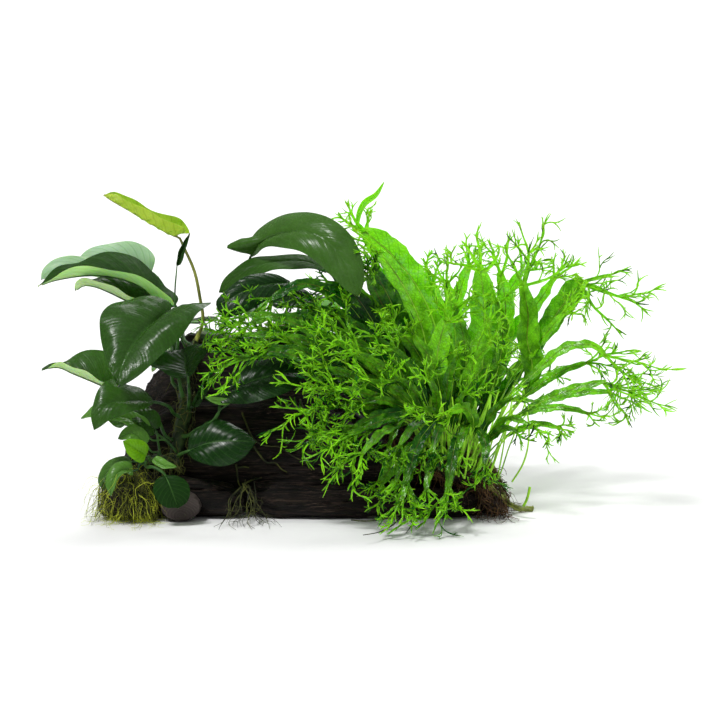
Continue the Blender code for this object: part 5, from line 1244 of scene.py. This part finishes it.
def make_ferns():
    """Every frond with a node, and the smaller ones in groups."""
    finishes = ["frond_top", "frond_underside", "frond_stalk"]
    for number, (name, shape) in enumerate(FRONDS.items()):
        dice = np.random.default_rng(100 + number)
        skin = Skin()
        shape = dict(shape, tips=[seen(*tip) for tip in shape["tips"]])
        skin_frond(skin, dice, **shape)
        place_piece(skin.build(name.replace("fern_frond", "frond"), finishes), "fern_frond", name)
    for group, (name, (carrier, fronds)) in enumerate(SMALL_FRONDS.items()):
        dice = np.random.default_rng(300 + group)
        skin = Skin()
        for path, width, crest, tone in fronds:
            face = (0.0, 0.6, 0.7) if path[-1][2] > 55 else (-0.15, -0.8, 0.5)
            tips = fan_tips(dice, path, face, crest, 4 if crest > 12 else 3)
            skin_frond(skin, dice, carrier, path, width, face, tips, tone, base=0.08 if width > 8 else 0.3)
        place_piece(skin.build(name, finishes), "fern_frond")
    dice = np.random.default_rng(400)
    skin = Skin()
    for path, radius in LONG_STALKS:
        skin.tube(smooth_curve([seen(*place) for place in path], np.linspace(0, 1, 26)), radius * MM, 7, 0.9)
    for number in range(STALK_COUNT):
        column = 424 + number * 2.5
        foot, outward = foot_of("fern_root_mat", seen(column, 455 + dice.uniform(-12, 24), -44))
        top = seen(column + 0.5 * (column - 462) + dice.uniform(-12, 12), 400 + dice.uniform(-14, 14),
                   -38 + dice.uniform(-6, 18))
        knee = (foot + top) / 2 + outward * dice.uniform(1, 5) * MM
        path = smooth_curve([foot, foot + outward * 2 * MM, knee, top], np.linspace(0, 1, 14))
        skin.tube(path, dice.uniform(0.4, 0.75) * MM, 6, dice.uniform(0.6, 1.5))
    place_piece(skin.build("fern_loose_stalks", ["frond_stalk"]), "fern_frond")
    skin = Skin()
    for path, radius in TWIGS:
        line = smooth_curve([seen(*place) for place in path], np.linspace(0, 1, 20))
        line[:, 2] = np.maximum(line[:, 2], 0.7 * MM)
        skin.tube(line, np.linspace(1, 0.5, 20) * radius * MM, 6, 0.2)
    place_piece(skin.build("fern_dead_stalks", ["green_roots"]), "roots")


# ---- rhizomes and roots ----


def creep(dice, tree, start, heading, steps, stride, lift, fall, wander):
    """A path that creeps over a surface, falling as it goes, and along the floor once there."""
    place = np.array(start)
    path = []
    for _ in range(steps):
        found, outward, _, _ = tree.find_nearest(Vector(place))
        outward = np.array(outward)
        place = np.array(found) + outward * lift
        place[2] = max(place[2], 0.5 * MM)
        path.append(place)
        heading = heading + dice.normal(0, wander, 3) - UP * fall
        heading = unit(heading - outward * (heading @ outward) + 1e-6)
        place = place + heading * stride
    return np.array(path)


def hang(dice, start, outward, length, curl, fall):
    """A loose root or hair: out of the surface, then down, and along the floor."""
    heading = unit(outward + dice.normal(0, 0.5, 3))
    place = np.array(start)
    place[2] = max(place[2], 0.5 * MM)
    path = [place]
    for _ in range(9):
        heading = unit(heading + dice.normal(0, curl, 3) - UP * fall)
        place = place + heading * length / 9
        if place[2] < 0.5 * MM:
            place = np.array([place[0], place[1], dice.uniform(0.5, 0.9) * MM])
            heading = unit(heading * (1, 1, 0) + 1e-6)
        path.append(place)
    return np.array(path)


def random_places(dice, node, count):
    """Places spread evenly over a solid's surface, with the way out at each."""
    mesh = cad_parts[node].data
    corners = np.array([[tuple(mesh.vertices[v].co) for v in p.vertices[:3]] for p in mesh.polygons])
    cross = np.cross(corners[:, 1] - corners[:, 0], corners[:, 2] - corners[:, 0])
    area = np.linalg.norm(cross, axis=1)
    chosen = dice.choice(len(area), count, p=area / area.sum())
    a, b = dice.random((2, count, 1))
    a, b = np.where(a + b > 1, 1 - a, a), np.where(a + b > 1, 1 - b, b)
    tri = corners[chosen]
    return tri[:, 0] + (tri[:, 1] - tri[:, 0]) * a + (tri[:, 2] - tri[:, 0]) * b, unit(cross[chosen])


# Root masses: seed, the dark core's share of the solid's size, how deep the roots begin, creeping
# roots as (count, stride, fall, radius), loose hairs as (count, length, fall, radius), in
# millimetres, and the finishes of the two
ROOT_MASSES = {
    "fern_root_mat": dict(seed=11, size=1.0, inset=1.6, creeping=(520, 3.0, 0.25, 0.42),
                          loose=(420, 16, 0.5, 0.26), hairs=("brown_roots", "brown_roots")),
    "fern_root_beard": dict(seed=12, size=0.5, inset=7.0, creeping=(120, 3.6, 0.6, 0.34),
                            loose=(190, 23, 0.4, 0.27), hairs=("brown_roots", "brown_roots")),
    "anubias_root_tuft": dict(seed=13, size=0.72, inset=6.0, creeping=(330, 3.4, 0.7, 0.21),
                              loose=(520, 24, 0.4, 0.16), hairs=("green_roots", "moss")),
}


def make_root_mass(node, seed, size, inset, creeping, loose, hairs):
    """A mass of roots in place of its solid: a dark core, creeping roots and loose hairs."""
    dice = np.random.default_rng(seed)
    skin = roughened(node, 1.6 * MM, 0.8, 1.6, size)
    tree = surface_of(node)
    count, stride, fall, thick = creeping
    for start, outward in zip(*random_places(dice, node, count)):
        heading = unit(np.cross(outward, dice.normal(0, 1, 3)))
        path = creep(dice, tree, start, heading, 11, stride * dice.uniform(0.7, 1.2) * MM,
                     dice.uniform(-0.8 * inset, 0.7) * MM, fall, 0.45)
        radius = thick * dice.uniform(0.6, 1.5) * MM
        skin.tube(path, np.linspace(1, 0.45, len(path)) * radius, 4, dice.uniform(0, 0.9), 1)
    count, length, fall, thick = loose
    for start, outward in zip(*random_places(dice, node, count)):
        path = hang(dice, start - outward * dice.uniform(1, inset) * MM, outward, length * dice.uniform(0.5, 1.25) * MM, 0.4, fall)
        radius = thick * dice.uniform(0.6, 1.3) * MM
        skin.tube(path, np.linspace(1, 0.4, len(path)) * radius, 3, dice.uniform(0.1, 1.1), 2)
    finishes = ["root_core", *hairs]
    place_piece(skin.build(node.replace("root_", "fine_roots_"), finishes, 60), "roots", node)


def make_root_fan():
    """The fan of dark roots that comes down the notch and spreads over the floor."""
    dice = np.random.default_rng(14)
    skin = Skin()
    for number in range(18):
        start = seen(246 + dice.normal(0, 3), 488 + dice.normal(0, 4), -51)
        angle = dice.uniform(-1.45, 1.45)
        reach = dice.uniform(12, 28) * MM
        end = np.array([start[0] + math.sin(angle) * reach, -0.057 - math.cos(angle) * reach * 0.9, 0.6 * MM])
        points = [start]
        for share in (0.3, 0.55, 0.8):
            place = start + (end - start) * share + dice.normal(0, 2.3, 3) * MM
            place[2] = max(start[2] * (1 - share) ** 1.3 + dice.uniform(0, 1.5) * MM, 0.7 * MM)
            points.append(place)
        path = smooth_curve([*points, end], np.linspace(0, 1, 16))
        path[:, 2] = np.maximum(path[:, 2], 0.5 * MM)
        skin.tube(path, np.linspace(1, 0.4, 16) * dice.uniform(0.2, 0.36) * MM, 6, dice.uniform(0, 0.8))
        for _ in range(2):
            side = hang(dice, path[dice.integers(5, 13)], UP * 0.2, dice.uniform(5, 12) * MM, 0.45, 0.15)
            skin.tube(side, np.linspace(1, 0.5, len(side)) * 0.17 * MM, 5, dice.uniform(0, 0.8))
    place_piece(skin.build("anubias_fine_roots_fan", ["green_roots"]), "roots", "anubias_root_fan")


def make_roots_on_wood():
    """The long roots that lie on the wood, and the fine tangle beside the climbing stem."""
    skin = Skin()
    wood = [surface_of(node) for node in ("driftwood_trunk", "driftwood_lower_limb_left",
                                          "driftwood_lower_limb_right")]
    for pixels in AERIAL_ROOTS:
        places = []
        for column, row in pixels:
            aim = unit(seen(column, row, 0) - VIEWPOINT)
            hits = [tree.ray_cast(Vector(VIEWPOINT), Vector(aim)) for tree in wood]
            hits = [(hit[3], np.array(hit[0]), np.array(hit[1])) for hit in hits if hit[0] is not None]
            if hits:
                _, place, outward = min(hits, key=lambda hit: hit[0])
                places.append(place + outward * 0.9 * MM)
        if len(places) > 2:
            skin.tube(smooth_curve(places, np.linspace(0, 1, 40)), np.linspace(0.75, 0.4, 40) * MM, 7, 0.35)
    dice = np.random.default_rng(16)
    tree = surface_of("anubias_rhizome")
    for start, outward in zip(*random_places(dice, "anubias_rhizome", 90)):
        path = creep(dice, tree, start, unit(np.cross(outward, dice.normal(0, 1, 3))), 7, 2.6 * MM,
                     dice.uniform(0.3, 3.0) * MM, 0.5, 0.6)
        path = np.vstack([path, hang(dice, path[-1], outward, dice.uniform(4, 14) * MM, 0.4, 0.4)[1:]])
        skin.tube(path, np.linspace(1, 0.4, len(path)) * dice.uniform(0.2, 0.4) * MM, 5, dice.uniform(0.3, 1.2))
    for start, outward in zip(*random_places(dice, "anubias_side_shoot", 70)):
        path = hang(dice, start - outward * 0.5 * MM, outward, dice.uniform(9, 26) * MM, 0.35, 0.22)
        skin.tube(path, np.linspace(1, 0.5, len(path)) * 0.16 * MM, 4, dice.uniform(0.4, 1.3))
    place_piece(skin.build("anubias_aerial_roots", ["green_roots"]), "roots")


# The fern stem's free end, over the roots that hang from it
STEM_END = ((490, 487, -42), (500, 496, -38), (511, 505, -32), (521, 510, -27), (533, 512, -24))
RHIZOMES = ("anubias_rhizome", "anubias_side_shoot", "anubias_top_rhizome", "fern_rhizome",
            "fern_rhizome_front", "fern_rhizome_back")


def make_rhizomes():
    """The creeping stems, each with scales and blotches, on its solid's own form."""
    for node in RHIZOMES:
        name = node.replace("rhizome", "stem").replace("shoot", "stem")
        skin = roughened(node, 0.7 * MM, 0.4, 0.2)
        if node == "fern_rhizome":
            free_end = smooth_curve([seen(*place) for place in STEM_END], np.linspace(0, 1, 40))
            free_end[:, 2] = np.maximum(free_end[:, 2], 2.2 * MM)
            bumps = 1 + 0.12 * np.sin(np.arange(40) * 1.3) + 0.08 * np.sin(np.arange(40) * 3.1)
            skin.tube(free_end, np.linspace(1.8, 1.4, 40) * bumps * MM, 12, 0.8)
        finish = "fern_stem_skin" if node.startswith("fern") else "stem_skin"
        place_piece(skin.build(name, [finish], 60), "rhizome", node)


# ---- stage ----


def add_sun(name, coming_from, strength, spread):
    """One soft light from far away."""
    lamp = bpy.data.lights.new(name, "SUN")
    lamp.energy = strength
    lamp.angle = math.radians(spread)
    light = bpy.data.objects.new(name, lamp)
    bpy.context.scene.collection.objects.link(light)
    light.rotation_euler = Vector(coming_from).to_track_quat("Z", "Y").to_euler()


def make_stage():
    """The floor, the light and the camera."""
    mesh = bpy.data.meshes.new("floor")
    size = 30.0
    mesh.from_pydata([(-size, -size, 0), (size, -size, 0), (size, size, 0), (-size, size, 0)], [], [(0, 1, 2, 3)])
    mesh.materials.append(bpy.data.materials["pale_floor"])
    floor = bpy.data.objects.new("floor", mesh)
    bpy.context.scene.collection.objects.link(floor)

    world = bpy.data.worlds.new("studio")
    bpy.context.scene.world = world
    world.use_nodes = True
    tree = world.node_tree
    place = tree.nodes.new("ShaderNodeTexCoord").outputs["Generated"]
    parts = tree.nodes.new("ShaderNodeSeparateXYZ")
    tree.links.new(place, parts.inputs[0])
    glow = span(tree, parts.outputs["Z"], 0.1, 0.9, 0.2, 0.5)
    tree.links.new(glow, tree.nodes["Background"].inputs["Strength"])
    tree.nodes["Background"].inputs["Color"].default_value = (1, 1, 1, 1)

    add_sun("key", (-0.45, -0.6, 1.1), 2.3, 12)
    add_sun("back", (0.3, 0.8, 1.1), 1.8, 34)
    bpy.context.scene.view_settings.view_transform = "Standard"

    lens = bpy.data.cameras.new("camera")
    lens.sensor_width = SENSOR
    lens.lens = SENSOR * VIEW_DISTANCE / (FRAME_SIZE * PIXEL)
    lens.clip_start = 0.05
    camera = bpy.data.objects.new("camera", lens)
    bpy.context.scene.collection.objects.link(camera)
    camera.location = VIEWPOINT
    camera.rotation_euler = (math.pi / 2 - VIEW_TILT, 0, 0)
    bpy.context.scene.camera = camera


make_finishes()
make_stage()
make_all_wood()
make_leaves()
make_ferns()
make_rhizomes()
for root_mass, shape in ROOT_MASSES.items():
    make_root_mass(root_mass, **shape)
make_root_fan()
make_roots_on_wood()

bpy.context.view_layer.update()
